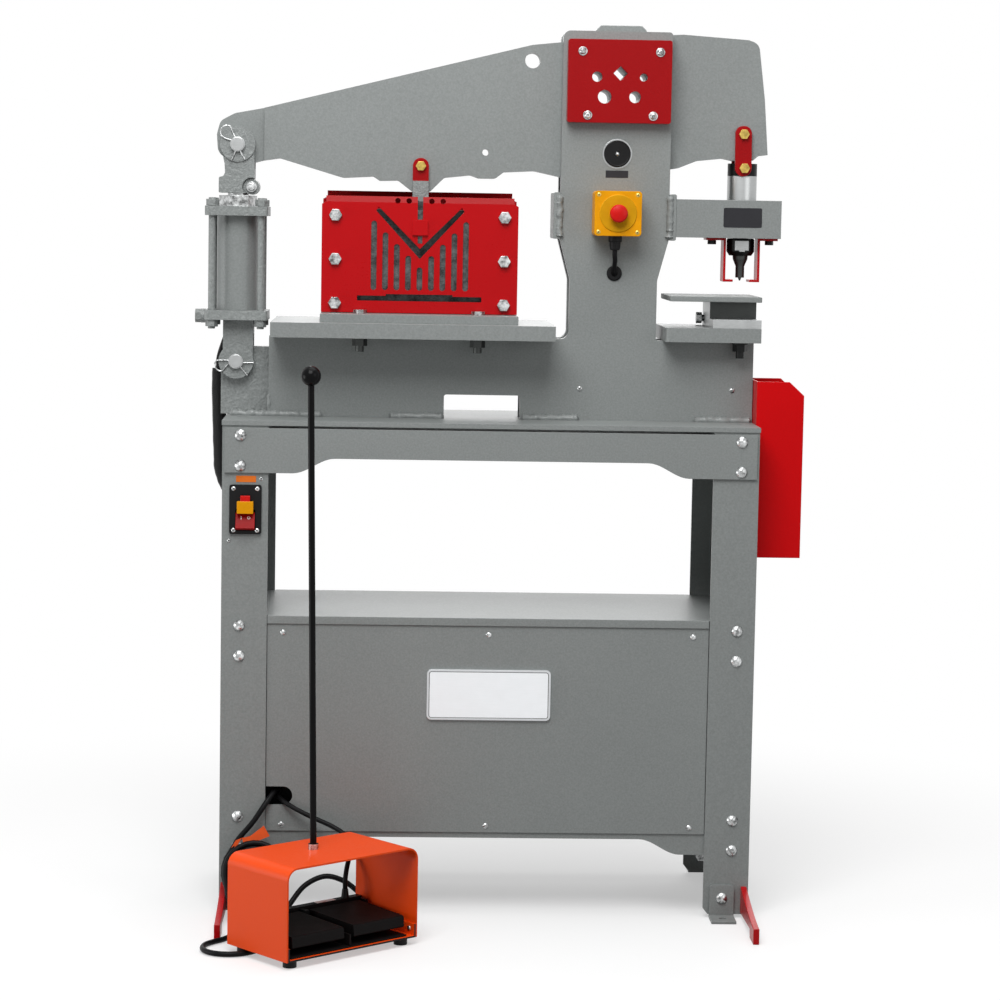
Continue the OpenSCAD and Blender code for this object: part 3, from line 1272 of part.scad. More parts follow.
// Beam and what rides on it
beam_rise = column_h - pivot_h - 2;
beam_end = punch_reach + 33;
beam_outline = soften([[-rod_arm - 36, 22, 14], [-rod_arm - 30, 44, 16], [-rod_arm - 6, 57, 24],
    [-rod_arm + 43, 66.5, 30],
    [-column_w + 39, beam_rise - 22, 60], [-column_w + 85, beam_rise - 17, 0],
    [column_w / 2 - 3, beam_rise - 1, 0], [column_w / 2 + 18, beam_rise, 40],
    [beam_end - 30, beam_rise - 7, 0], [beam_end - 12, beam_rise - 13, 17], [beam_end, beam_rise - 107, 0],
    [beam_end + 7, 3, 0], [beam_end - 9, 1, 8], [beam_end - 18, -7, 6], [beam_end - 48, -8, 6],
    [beam_end - 68, -4, 10], [137, -9, 30], [105, -22, 20], [80, -26,
        20], [30, -58, 30],
    [-40, -58, 30], [-95, -40, 20], [-138, -31, 20], [-190, -34, 8], [-204, -45, 8], [-232, -45, 8],
        [-246, -40, 8],
    [-290, -45, 10], [-shear_arm + 16, -69, 6], [-shear_arm - 14, -69, 6], [-368, -51, 8], [-399, -52, 6],
    [-410, -45, 6], [-461, -48, 20], [-568, -17, 12], [-rod_arm + 44, -21, 6], [-rod_arm + 22, -27, 14],
    [-rod_arm - 6, -32, 18], [-rod_arm - 34, -8, 20]]);
module beam() {
    color(machine_grey) translate([pivot_x, 0, pivot_z]) difference() {
        slab(-beam_t / 2, beam_t / 2, beam_outline);
        for (s = [0, 1]) mirror([0, s, 0])
            block(-rod_arm - 60, -rod_arm + 44, -beam_t, -beam_end_t / 2, -100, 100);
        rod_y(0, 0, pivot_d / 2 + run_gap, -beam_t, beam_t);
        rod_y(-rod_arm, clevis_z - pivot_z, pin_d / 2 + clevis_play, -beam_t, beam_t);
        rod_y(-shear_arm, shear_bolt_z - pivot_z, link_bolt_d / 2 + 1.3, -beam_t, beam_t);
        rod_y(punch_reach - 2, link_high_z - pivot_z, link_bolt_d / 2 + link_play, -beam_t, beam_t);
        rod_y(-column_w + 40, beam_rise - 48, 13, -beam_t, beam_t);
        rod_y(-221, -1, 5.6, -beam_t, beam_t);
        translate([-pivot_x, 0, -pivot_z]) rod_bores(-beam_t, beam_t, 0.4);
    }
}

// Cylinder
barrel_z0 = cyl_base_z + cap_t;
barrel_z1 = barrel_z0 + barrel_l;
head_top = barrel_z1 + cap_t;
gland_h = 18;
bore_r = barrel_d / 2 - barrel_wall;
tie_at = cap_side / 2 - 12;
nut_h = 13;
module cylinder_barrel() {
    color(machine_grey) difference() {
        rod_z(clevis_x, 0, barrel_d / 2, barrel_z0, barrel_z1);
        rod_z(clevis_x, 0, bore_r, barrel_z0 - eps, barrel_z1 + eps);
    }
}
module cap_square(z0, z1) {
    h = cap_side / 2;
    translate([clevis_x, 0, z0]) linear_extrude(z1 - z0) polygon(soften([[-h, -h, 6], [h, -h, 6], [h,
        h, 6], [-h, h, 6]]));
}
module tie_bores() {
    for (sx = [-1, 1]) for (sy = [-1, 1])
        rod_z(clevis_x + sx * tie_at, sy * tie_at, tie_d / 2 + run_gap, cyl_base_z - eps, head_top + eps);
}
module cylinder_caps() {
    color(machine_grey) difference() {
        union() {
            cap_square(barrel_z1, head_top);
            translate([clevis_x, 0, head_top - eps]) rotate(5) hex_head(55.4, gland_h + eps);
        }
        rod_z(clevis_x, 0, rod_d / 2 + run_gap, barrel_z1 - eps, head_top + gland_h + eps);
        tie_bores();
    }
    color(machine_grey) difference() {
        union() {
            cap_square(cyl_base_z, barrel_z0);
            for (s = [0, 1]) mirror([0, s, 0]) {
                rod_y(clevis_x, base_pin_z, eye_r, -fork_gap - ear_t, -fork_gap);
                block(clevis_x - 22.5, clevis_x + 28, -neck_y, -fork_gap, base_pin_z, cyl_base_z + eps);
            }
            block(clevis_x - 22.5, clevis_x + 28, -neck_y, neck_y, cyl_base_z - 24, cyl_base_z + eps);
        }
        rod_y(clevis_x, base_pin_z, pin_d / 2 + run_gap, -60, 60);
        tie_bores();
    }
    color(steel) for (sx = [-1, 1]) for (sy = [-1, 1]) translate([clevis_x + sx * tie_at, sy * tie_at, 0]) {
        rod_z(0, 0, tie_d / 2, cyl_base_z - nut_h - 2, head_top + nut_h + 1);
        translate([0, 0, head_top + 0.2]) hex_head(18, nut_h - 2);
        translate([0, 0, cyl_base_z - nut_h + 1.8]) hex_head(18, nut_h - 2);
    }
    color(dark_steel) {
        rod_x(0, cyl_base_z + 5, 12, clevis_x - cap_side / 2 - 8, clevis_x - cap_side / 2 - 0.1);
        translate([clevis_x - cap_side / 2 - 18, 0, cyl_base_z + 5]) rotate([0, 90, 0]) hex_head(20, 10.5);
        rod_z(hose_x, hose_y, 8.5, cyl_base_z - 14, cyl_base_z);
    }
}
module piston_rod() {
    z0 = barrel_z0 + 1;
    color(steel) {
        rod_z(clevis_x, 0, bore_r - run_gap, z0, z0 + 38);
        rod_z(clevis_x, 0, rod_d / 2, z0 + 38 - eps, clevis_low);
    }
}
clevis_low = head_top + gland_h + 4;
module rod_clevis() {
    top = clevis_z - eye_r - 9;
    ear = [clevis_x + 23.5, clevis_low + 10.5];
    base = soften([[-31.5, clevis_low, 2], [28, clevis_low, 2], [28, top - 2, 0], [-21, top - 2, 0],
        [-20, clevis_low + 36, 6], [-24, clevis_low + 28, 3], [-31.5, clevis_low + 26, 3]]);
    cheek = soften([[-21, top - 12, 0], [28, top - 12, 0], [28, clevis_z, 0], [-eye_r, clevis_z, 0],
        [-22, top + 6, 12]]);
    color(machine_grey) difference() {
        union() {
            for (s = [0, 1]) mirror([0, s, 0]) {
                translate([clevis_x, 0, 0]) slab(-neck_y, -fork_gap, cheek);
                rod_y(clevis_x, clevis_z, eye_r, -fork_gap - ear_t, -fork_gap);
            }
            difference() {
                translate([clevis_x, 0, 0]) slab(-neck_y, neck_y, base);
                for (s = [-1, 1]) rod_y(ear[0], ear[1], 15.5, s * 34 - 14, s * 34 + 14);
            }
            rod_y(ear[0], ear[1], 13, -22, 22);
        }
        rod_y(clevis_x, clevis_z, pin_d / 2 + run_gap, -60, 60);
        rod_y(ear[0], ear[1], 6 + bolt_gap, -60, 60);
    }
    color(zinc) for (s = [0, 1]) mirror([0, s, 0]) {
        rod_y(ear[0], ear[1], 6, -29, eps);
        rod_y(ear[0], ear[1], 9, -27, -22.1);
    }
}
module clevis_pin() { color(steel) pin(clevis_x, clevis_z); }

stand_leg_left();
stand_leg_right();
stand_rails();
cabinet_top();
cabinet_panels();
stand_fasteners();
floor_clips();
outriggers();
tool_bin();
base_plate();
frame_plate_front();
frame_plate_rear();
frame_spacers();
cylinder_lug();
main_pivot_pin();
grease_cap();
shear_table();
table_bolts();
shear_base_plate();
shear_cheeks();
fixed_blade();
shear_guard_front();
shear_guard_rear();
guard_bolts();
punch_arm();
strippers();
die_bed();
die_holder();
die();
punch_table();
rod_shear_guard();
estop_box();
estop_cable();
estop_button();
switch_plate();
switch_paddle();
switch_key();
oil_tank();
pump_motor();
motor_rotor();
hose_sleeve();
foot_guard();
foot_base();
foot_pedal_left();
foot_pedal_right();
carry_rod();
foot_cord();
power_cord();
power_coil();
power_plug();
beam();
cylinder_barrel();
cylinder_caps();
piston_rod();
rod_clevis();
clevis_pin();
punch_ram();
punch();
punch_links();
moving_blade();
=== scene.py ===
import bpy, bmesh, json, math
from mathutils import Matrix, Vector, noise

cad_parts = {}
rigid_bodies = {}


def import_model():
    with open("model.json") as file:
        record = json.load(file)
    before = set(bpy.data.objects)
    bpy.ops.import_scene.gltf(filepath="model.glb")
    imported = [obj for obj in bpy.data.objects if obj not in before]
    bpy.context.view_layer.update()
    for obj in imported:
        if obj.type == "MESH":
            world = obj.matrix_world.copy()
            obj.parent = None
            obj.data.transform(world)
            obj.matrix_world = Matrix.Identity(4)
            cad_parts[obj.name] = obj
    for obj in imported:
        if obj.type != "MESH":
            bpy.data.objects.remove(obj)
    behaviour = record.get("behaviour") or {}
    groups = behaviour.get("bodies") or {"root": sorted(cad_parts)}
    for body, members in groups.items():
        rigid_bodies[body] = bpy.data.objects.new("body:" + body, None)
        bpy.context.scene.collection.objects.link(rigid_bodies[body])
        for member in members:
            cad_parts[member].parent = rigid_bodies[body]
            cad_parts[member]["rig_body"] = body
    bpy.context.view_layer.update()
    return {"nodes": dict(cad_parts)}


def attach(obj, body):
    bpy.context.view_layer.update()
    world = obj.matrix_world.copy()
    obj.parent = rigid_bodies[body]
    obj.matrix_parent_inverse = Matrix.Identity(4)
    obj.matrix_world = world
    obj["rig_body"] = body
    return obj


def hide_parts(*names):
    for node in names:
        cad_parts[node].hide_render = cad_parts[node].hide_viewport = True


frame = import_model()
nodes = frame["nodes"]
mm = 0.001
print("frame loaded with", len(nodes), "nodes")

# camera: angles in degrees, place in metres
cameraLook = {"sensor": 36, "lens": 2.85 * 36, "place": (-0.1704, -4.8631, 1.1742),
    "yaw": 2.257, "pitch": 5.722, "roll": -1.008}


def aimCamera(look):
    yaw, pitch, roll = (math.radians(look[k]) for k in ("yaw", "pitch", "roll"))
    ahead = Vector((math.sin(yaw) * math.cos(pitch), math.cos(yaw) * math.cos(pitch), -math.sin(pitch)))
    right = Vector((math.cos(yaw), -math.sin(yaw), 0))
    down = ahead.cross(right)
    across = math.cos(roll) * right + math.sin(roll) * down
    up = math.sin(roll) * right - math.cos(roll) * down
    camera = bpy.data.objects.new("studioCamera", bpy.data.cameras.new("studioCamera"))
    camera.data.sensor_width = look["sensor"]
    camera.data.lens = look["lens"]
    bpy.context.scene.collection.objects.link(camera)
    turn = Matrix((across, up, -ahead)).transposed().to_4x4()
    camera.matrix_world = Matrix.Translation(look["place"]) @ turn
    bpy.context.scene.camera = camera


aimCamera(cameraLook)
print("camera set")


# shader sums: a socket that can be added, subtracted and scaled
class Wire:
    def __init__(self, tree, socket=None):
        self.tree, self.socket = tree, socket

    def node(self, kind, settings, values, out=0):
        made = self.tree.nodes.new("ShaderNode" + kind)
        for key, value in settings.items():
            setattr(made, key, value)
        for key, value in values.items():
            if isinstance(value, Wire):
                self.tree.links.new(value.socket, made.inputs[key])
            else:
                made.inputs[key].default_value = value
        return Wire(self.tree, made.outputs[out] if len(made.outputs) else None)

    def sum(self, operation, first, second=0.0, clamp=False):
        return self.node("Math", {"operation": operation, "use_clamp": clamp}, {0: first, 1: second})

    def __add__(self, other):
        return self.sum("ADD", self, other)

    def __sub__(self, other):
        return self.sum("SUBTRACT", self, other)

    def __rsub__(self, other):
        return self.sum("SUBTRACT", other, self)

    def __mul__(self, other):
        return self.sum("MULTIPLY", self, other)

    __radd__, __rmul__ = __add__, __mul__

    def clip(self):
        return self.sum("ADD", self, 0.0, True)

    def place(self):
        return self.node("TexCoord", {}, {}, "Object")

    def grain(self, scale, detail=3.0, rough=0.6, stretch=None):
        where = self.place()
        if stretch:
            where = self.node("Mapping", {}, {"Vector": where, "Scale": stretch})
        return self.node("TexNoise", {}, {"Vector": where, "Scale": scale, "Detail": detail, "Roughness": rough})

    def blend(self, factor, first, second):
        return self.node("Mix", {"data_type": "RGBA"}, {0: factor, 6: first, 7: second}, 2)

    def bump(self, height, depth):
        return self.node("Bump", {}, {"Height": height, "Distance": depth, "Strength": 1.0})


srgb = {"knee": 10.3, "slope": 12.92, "lift": 0.055, "power": 2.4}


def linear(channel):
    if channel <= srgb["knee"]:
        return channel / 255 / srgb["slope"]
    return ((channel / 255 + srgb["lift"]) / (1 + srgb["lift"])) ** srgb["power"]


def tint(red, green, blue):
    return (linear(red), linear(green), linear(blue), 1)


def shade(colour, factor):
    return tuple(min(1, c * factor) for c in colour[:3]) + (1,)


def freshNodes(holder):
    holder.use_nodes = True
    holder.node_tree.nodes.clear()
    return Wire(holder.node_tree)


finishes = {}


def addFinish(name, recipe):
    made = bpy.data.materials.new(name)
    start = freshNodes(made)
    shader = start.node("BsdfPrincipled", {}, recipe(start))
    start.node("OutputMaterial", {}, {"Surface": shader})
    made.diffuse_color = (0.5, 0.5, 0.5, 1)
    finishes[name] = made


# what all finishes of a kind share
paintLook = {"wash": 5.0, "dark": 0.72, "light": 1.28, "peelRough": 0.16, "washRough": 0.12, "fleckRise": 0.5}
metalLook = {"cloud": 60.0, "dark": 0.62, "light": 1.3, "lineRough": 0.18, "cloudRough": 0.14}
plasticLook = {"cloud": 40.0, "dark": 0.8, "light": 1.22, "cloudRough": 0.14}


def paintRecipe(look):
    look = {**paintLook, **look}

    def recipe(w):
        fleck = w.grain(look["fleck"], 2.0)
        peel = w.grain(look["peel"], 2.0, 0.5)
        wash = w.grain(look["wash"])
        tone = (fleck - 0.5) * look["fleckAmount"] + (wash - 0.5) * look["washAmount"] + 0.5
        dark, light = (shade(look["colour"], look[k]) for k in ("dark", "light"))
        return {"Base Color": w.blend(tone.clip(), dark, light),
                "Roughness": peel * look["peelRough"] + (wash - 0.5) * look["washRough"] + look["rough"],
                "Specular IOR Level": look["gloss"],
                "Normal": w.bump(peel + fleck * look["fleckRise"], look["depth"])}
    return recipe


def metalRecipe(look):
    look = {**metalLook, **look}

    def recipe(w):
        lines = w.grain(look["lines"], 4.0, 0.65, look["stretch"])
        cloud = w.grain(look["cloud"])
        tone = (lines - 0.5) * look["lineAmount"] + (cloud - 0.5) * look["cloudAmount"] + 0.5
        dark, light = (shade(look["colour"], look[k]) for k in ("dark", "light"))
        return {"Base Color": w.blend(tone.clip(), dark, light),
                "Metallic": 1.0,
                "Roughness": lines * look["lineRough"] + cloud * look["cloudRough"] + look["rough"],
                "Normal": w.bump(lines, look["depth"])}
    return recipe


def plasticRecipe(look):
    look = {**plasticLook, **look}

    def recipe(w):
        pebble = w.node("TexVoronoi", {"feature": "SMOOTH_F1"}, {"Vector": w.place(), "Scale": look["pebble"]})
        cloud = w.grain(look["cloud"])
        dark, light = (shade(look["colour"], look[k]) for k in ("dark", "light"))
        return {"Base Color": w.blend(cloud, dark, light),
                "Roughness": cloud * look["cloudRough"] + look["rough"],
                "Specular IOR Level": look["gloss"],
                "Normal": w.bump(pebble, look["depth"])}
    return recipe


def strandWave(w, side, look):
    where = w.node("Mapping", {}, {"Vector": w.place(), "Scale": (side, 1, 1)})
    return w.node("TexWave", {"bands_direction": "DIAGONAL"}, {"Vector": where, "Scale": look["strand"]}, "Fac")


def wovenRecipe(look):
    def recipe(w):
        weave = w.sum("MAXIMUM", strandWave(w, 1, look), strandWave(w, -1, look))
        dark, light = (shade(look["colour"], look[k]) for k in ("dark", "light"))
        return {"Base Color": w.blend(weave, dark, light),
                "Roughness": weave * look["weaveRough"] + look["rough"],
                "Specular IOR Level": look["gloss"],
                "Normal": w.bump(weave, look["depth"])}
    return recipe


paints = {
    "greyPaint": {"colour": tint(131, 135, 134), "fleck": 330.0, "fleckAmount": 0.85, "washAmount": 0.2,
                  "peel": 300.0, "rough": 0.3, "gloss": 0.42, "depth": 0.00016},
    "tablePaint": {"colour": tint(137, 141, 140), "fleck": 330.0, "fleckAmount": 0.85, "washAmount": 0.2,
                   "peel": 300.0, "rough": 0.46, "gloss": 0.1, "depth": 0.0002},
    "castPaint": {"colour": tint(131, 135, 134), "fleck": 290.0, "fleckAmount": 1.3, "washAmount": 0.4,
                  "peel": 150.0, "rough": 0.32, "gloss": 0.44, "depth": 0.0015},
    "redPaint": {"colour": tint(178, 8, 15), "fleck": 500.0, "fleckAmount": 0.25, "washAmount": 0.22,
                 "peel": 240.0, "rough": 0.22, "gloss": 0.16, "depth": 0.00012},
    "binPaint": {"colour": tint(206, 5, 11), "fleck": 500.0, "fleckAmount": 0.25, "washAmount": 0.22,
                 "peel": 240.0, "rough": 0.26, "gloss": 0.12, "depth": 0.00012},
    # darker red of the links, also put on the front guard's leaning band as painted shade
    "linkPaint": {"colour": tint(150, 8, 13), "fleck": 420.0, "fleckAmount": 0.4, "washAmount": 0.3,
                  "peel": 240.0, "rough": 0.28, "gloss": 0.14, "depth": 0.0002},
    "orangePaint": {"colour": tint(252, 76, 12), "fleck": 500.0, "fleckAmount": 0.14, "washAmount": 0.16,
                    "peel": 260.0, "rough": 0.3, "gloss": 0.2, "depth": 0.0001},
    "unitPaint": {"colour": tint(32, 33, 34), "fleck": 500.0, "fleckAmount": 0.4, "washAmount": 0.3,
                  "peel": 200.0, "rough": 0.45, "gloss": 0.18, "depth": 0.0002},
}
metals = {
    "groundSteel": {"colour": tint(168, 170, 170), "lines": 30.0, "stretch": (3, 3, 60), "lineAmount": 0.7,
                    "cloudAmount": 0.5, "rough": 0.24, "depth": 0.00003},
    # blade steel darkened as painted shade for the blades behind the guard
    "bladeSteel": {"colour": tint(84, 86, 86), "lines": 24.0, "stretch": (14, 4, 30), "lineAmount": 2.2,
                   "cloudAmount": 2.6, "dark": 0.3, "rough": 0.36, "depth": 0.00005},
    "turnedSteel": {"colour": tint(176, 178, 178), "lines": 26.0, "stretch": (1, 1, 90), "lineAmount": 0.5,
                    "cloudAmount": 0.3, "rough": 0.16, "depth": 0.00002},
    "zincPlate": {"colour": tint(196, 198, 198), "lines": 160.0, "stretch": (1, 1, 1), "lineAmount": 0.9,
                  "cloudAmount": 2.6, "cloud": 120.0, "dark": 0.22, "rough": 0.12, "depth": 0.00006},
    "goldZinc": {"colour": tint(200, 172, 92), "lines": 140.0, "stretch": (1, 1, 1), "lineAmount": 0.8,
                 "cloudAmount": 1.6, "cloud": 130.0, "dark": 0.4, "rough": 0.18, "depth": 0.00004},
    # dark steel, also used as painted shade: screw recesses, nuts under the shear table, the die holder's front
    "darkSteel": {"colour": tint(68, 70, 69), "lines": 90.0, "stretch": (1, 1, 8), "lineAmount": 0.6,
                  "cloudAmount": 0.5, "rough": 0.3, "depth": 0.00004},
    "blackSteel": {"colour": tint(38, 39, 39), "lines": 90.0, "stretch": (1, 1, 8), "lineAmount": 0.7,
                   "cloudAmount": 0.9, "dark": 0.4, "rough": 0.26, "depth": 0.00005},
    "badgeField": {"colour": tint(222, 224, 226), "lines": 22.0, "stretch": (2, 2, 110), "lineAmount": 0.25,
                   "cloudAmount": 0.12, "rough": 0.42, "depth": 0.00001},
    "badgeSilver": {"colour": tint(198, 200, 202), "lines": 20.0, "stretch": (2, 2, 120), "lineAmount": 0.35,
                    "cloudAmount": 0.15, "rough": 0.26, "depth": 0.00001},
}
plastics = {
    "blackPlastic": {"colour": tint(16, 16, 17), "pebble": 1400.0, "rough": 0.36, "gloss": 0.16, "depth": 0.00008},
    "glossBlack": {"colour": tint(10, 10, 11), "pebble": 500.0, "rough": 0.12, "gloss": 0.08, "depth": 0.00001},
    "treadRubber": {"colour": tint(13, 11, 11), "pebble": 900.0, "rough": 0.5, "gloss": 0.08, "depth": 0.00015},
    "cordJacket": {"colour": tint(12, 12, 13), "pebble": 1100.0, "rough": 0.34, "gloss": 0.1, "depth": 0.00006},
    "yellowPlastic": {"colour": tint(222, 150, 4), "pebble": 1300.0, "rough": 0.34, "gloss": 0.14, "depth": 0.00005},
    "discYellow": {"colour": tint(200, 145, 5), "pebble": 900.0, "rough": 0.4, "gloss": 0.14, "depth": 0.00003},
    "redPlastic": {"colour": tint(198, 18, 14), "pebble": 900.0, "rough": 0.28, "gloss": 0.2, "depth": 0.00003},
    "paddleRed": {"colour": tint(146, 12, 15), "pebble": 900.0, "rough": 0.34, "gloss": 0.1, "depth": 0.00004},
    "plateBlack": {"colour": tint(34, 34, 38), "pebble": 400.0, "rough": 0.42, "gloss": 0.25, "depth": 0.00001},
    "paleStrip": {"colour": tint(240, 228, 226), "pebble": 400.0, "rough": 0.45, "gloss": 0.25, "depth": 0.00001},
    "plateOrange": {"colour": tint(222, 112, 34), "pebble": 400.0, "rough": 0.4, "gloss": 0.25, "depth": 0.00001},
    "tagOrange": {"colour": tint(240, 92, 40), "pebble": 400.0, "rough": 0.45, "gloss": 0.2, "depth": 0.00001},
}
wovenLook = {"colour": tint(15, 15, 16), "strand": 210.0, "dark": 0.6, "light": 1.8, "weaveRough": -0.15,
    "rough": 0.5, "gloss": 0.16, "depth": 0.0006}

addFinish("wovenSleeve", wovenRecipe(wovenLook))
for looks, recipe in ((paints, paintRecipe), (metals, metalRecipe), (plastics, plasticRecipe)):
    for name, look in looks.items():
        addFinish(name, recipe(look))
print("finishes made:", len(finishes))


def keepPiece(name, shell, finishNames, body="frame", flat=30):
    mesh = bpy.data.meshes.new(name)
    shell.normal_update()
    shell.to_mesh(mesh)
    shell.free()
    for finish in finishNames:
        mesh.materials.append(finishes[finish])
    for face in mesh.polygons:
        face.use_smooth = True
    mesh.set_sharp_from_angle(angle=math.radians(flat))
    piece = bpy.data.objects.new(name, mesh)
    bpy.context.scene.collection.objects.link(piece)
    soften = piece.modifiers.new("evenShading", "WEIGHTED_NORMAL")
    soften.keep_sharp = True
    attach(piece, body)
    return piece


# cords: routes in millimetres
def smoothRoute(points, steps):
    points = [Vector(p) for p in points]
    line = []
    for i in range(len(points) - 1):
        a, b, c, d = points[max(i - 1, 0)], points[i], points[i + 1], points[min(i + 2, len(points) - 1)]
        for k in range(steps):
            t = k / steps
            bend = (2 * a - 5 * b + 4 * c - d) * t * t
            twist = (3 * b - a - 3 * c + d) * t ** 3
            line.append(0.5 * (2 * b + (c - a) * t + bend + twist))
    return line + [points[-1]]


def runLength(line):
    return sum((b - a).length for a, b in zip(line, line[1:]))


def layCord(name, line, diameter, finish, waves=None):
    curve = bpy.data.curves.new(name, "CURVE")
    curve.dimensions = "3D"
    curve.bevel_depth = diameter / 2
    curve.bevel_resolution = 5
    curve.use_fill_caps = True
    spline = curve.splines.new("POLY")
    spline.points.add(len(line) - 1)
    for i, (point, p) in enumerate(zip(spline.points, line)):
        point.co = (*p, 1)
        if waves:
            point.radius = waves(i)
    curve.materials.append(finishes[finish])
    piece = bpy.data.objects.new(name, curve)
    bpy.context.scene.collection.objects.link(piece)
    return piece


routeSteps = 8
footCordRoute = {"diameter": 8, "points": [(-232.2, -272.9, 70), (-232.2, -271.9, 86), (-230, -264, 103),
    (-226, -246, 121), (-226, -224, 136), (-237, -205, 147), (-259, -194, 158), (-287, -187, 169),
    (-315, -179, 181), (-335, -167, 190.5), (-346, -151, 195.5), (-350, -132, 197.5), (-350, -112, 198)]}
footLine = [p * mm for p in smoothRoute(footCordRoute["points"], routeSteps)]
footCord = layCord("footSwitchCord", footLine, footCordRoute["diameter"] * mm, "cordJacket")
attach(footCord, "frame")
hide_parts("foot_cord")
runLength(footLine)

# the lead goes round twice, crosses to the second row, and winds out again
leadRoute = {"diameter": 9, "step": 9.6, "outer": 54.6, "turns": 2, "cross": 0.5, "midTurn": 2.25,
    "total": 2 + 0.5 + 2 - 1 / 3, "rings": 100, "start": 140, "centre": (-382, -206, 80), "lean": 70,
    "leadIn": 17, "leadOut": 18,
    "toCoil": [(-348, -112, 212), (-348, -131, 212), (-353, -151, 208), (-362, -168, 198), (-374, -178, 181),
        (-389, -183, 159)],
    "fromCoil": [(-417.5, -238.5, 25), (-414, -252, 11), (-411, -271, 5.5), (-410, -298, 5), (-414, -328, 5),
        (-425, -352, 5), (-440, -369, 5), (-452, -386, 5), (-456, -407, 5), (-450, -428, 5), (-435, -442, 5),
        (-415, -447, 5), (-394, -443, 5), (-377, -431, 5), (-364, -413, 5), (-355, -390, 5), (-349, -362, 5),
        (-345, -328, 5), (-342, -292, 5), (-339, -258, 6), (-334, -228, 14), (-322, -206, 31), (-300, -192, 56),
        (-268, -186, 70), (-237, -186, 63), (-211, -188, 44), (-193, -189, 26), (-179, -184, 15.5),
        (-167, -176, 13)]}


def coilLine(look):
    lean = math.radians(look["lean"])
    line = []
    for i in range(look["rings"] + 1):
        t = i / look["rings"] * look["total"]
        k = max(0, min(1, (t - look["turns"]) / look["cross"]))
        inward = t if t < look["midTurn"] else 2 * look["midTurn"] - t
        radius = look["outer"] - look["step"] * inward
        angle = math.radians(look["start"] + 360 * t)
        x, y, z = radius * math.cos(angle), radius * math.sin(angle), look["step"] * k * k * (3 - 2 * k)
        leant = (x, y * math.cos(lean) - z * math.sin(lean), y * math.sin(lean) + z * math.cos(lean))
        line.append(Vector(look["centre"]) + Vector(leant))
    first = line[0] + (line[0] - line[1]).normalized() * look["diameter"]
    last = line[-1] + (line[-1] - line[-2]).normalized() * look["diameter"]
    return [first] + line + [last]


coil = coilLine(leadRoute)
intoCoil = coil[0] - leadRoute["leadIn"] * (coil[2] - coil[1]).normalized()
outOfCoil = coil[-1] + leadRoute["leadOut"] * (coil[-1] - coil[-2]).normalized()
toCoil = smoothRoute(leadRoute["toCoil"] + [intoCoil, coil[0]], routeSteps)
fromCoil = smoothRoute([coil[-1], outOfCoil] + leadRoute["fromCoil"], routeSteps)
leadLine = [p * mm for p in toCoil[:-1] + coil[:-1] + fromCoil]
powerLead = layCord("powerLead", leadLine, leadRoute["diameter"] * mm, "cordJacket")
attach(powerLead, "frame")
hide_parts("power_cord", "power_coil")

# woven sleeve, with the thinner hose going on from its top
sleeveRoute = {"diameter": 25, "hose": 12.5, "top": 905, "lip": 0.0004, "girth": 0.97, "ripple": 0.03,
    "pace": (0.9, 0.31), "points": [(-413, 46, 648), (-424, 46, 662), (-436.5, 46, 680), (-446, 46, 697),
        (-454.5, 46, 715), (-459.5, 46, 735), (-460.5, 46, 763), (-462.5, 46, 813), (-464, 46, 883),
        (-463.2, 46, 905), (-462, 46, 923), (-455, 46, 946.5), (-449, 46, 963.5), (-449, 46, 972.5)]}
sleeveLine = [p * mm for p in smoothRoute(sleeveRoute["points"], routeSteps)][::-1]
sleeveStart = min(i for i, p in enumerate(sleeveLine) if p.z < sleeveRoute["top"] * mm)
sleeveLine.insert(sleeveStart, sleeveLine[sleeveStart] + Vector((0, 0, sleeveRoute["lip"])))


def sleeveGirth(i):
    if i <= sleeveStart:
        return sleeveRoute["hose"] / sleeveRoute["diameter"]
    quick, slow = sleeveRoute["pace"]
    return sleeveRoute["girth"] + sleeveRoute["ripple"] * math.sin(quick * i) * math.sin(slow * i + 1)


hoseSleeve = layCord("hoseSleeve", sleeveLine, sleeveRoute["diameter"] * mm, "wovenSleeve", sleeveGirth)
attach(hoseSleeve, "frame")
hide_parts("hose_sleeve")
runLength(sleeveLine)

stopCableRoute = {"diameter": 8, "points": [(204, -72, 1117.5), (204, -72, 1109.5), (205, -67, 1099.5),
    (205, -58, 1090.5), (206, -52, 1080.5), (206, -46, 1078.5)]}
stopLine = [p * mm for p in smoothRoute(stopCableRoute["points"], routeSteps)]
stopCable = layCord("stopCable", stopLine, stopCableRoute["diameter"] * mm, "cordJacket")
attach(stopCable, "frame")
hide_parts("estop_cable")
runLength(stopLine)
cordLines = {"foot": footLine, "lead": leadLine, "sleeve": sleeveLine, "stop": stopLine}
print("cords laid:", ", ".join("%s %.3f m" % (name, runLength(line)) for name, line in cordLines.items()))


# shapes that new pieces start from, in millimetres
def turnTo(axis):
    return Vector((0, 0, 1)).rotation_difference(Vector(axis)).to_matrix().to_4x4()


def turnedShape(profile, centre, axis, steps=32):
    shell = bmesh.new()
    points = [shell.verts.new((r, 0, h)) for r, h in profile]
    for a, b in zip(points, points[1:]):
        shell.edges.new((a, b))
    bmesh.ops.spin(shell, geom=shell.verts[:] + shell.edges[:], cent=(0, 0, 0), axis=(0, 0, 1),
                   angle=math.tau, steps=steps, use_merge=True)
    bmesh.ops.remove_doubles(shell, verts=shell.verts, dist=0.001)
    bmesh.ops.recalc_face_normals(shell, faces=shell.faces)
    shell.transform(Matrix.Scale(mm, 4) @ Matrix.Translation(centre) @ turnTo(axis))
    return shell


def boxShape(low, high):
    shell = bmesh.new()
    bmesh.ops.create_cube(shell, size=1)
    low, high = Vector(low), Vector(high)
    bmesh.ops.scale(shell, vec=high - low, verts=shell.verts)
    bmesh.ops.translate(shell, vec=(low + high) / 2, verts=shell.verts)
    return shell


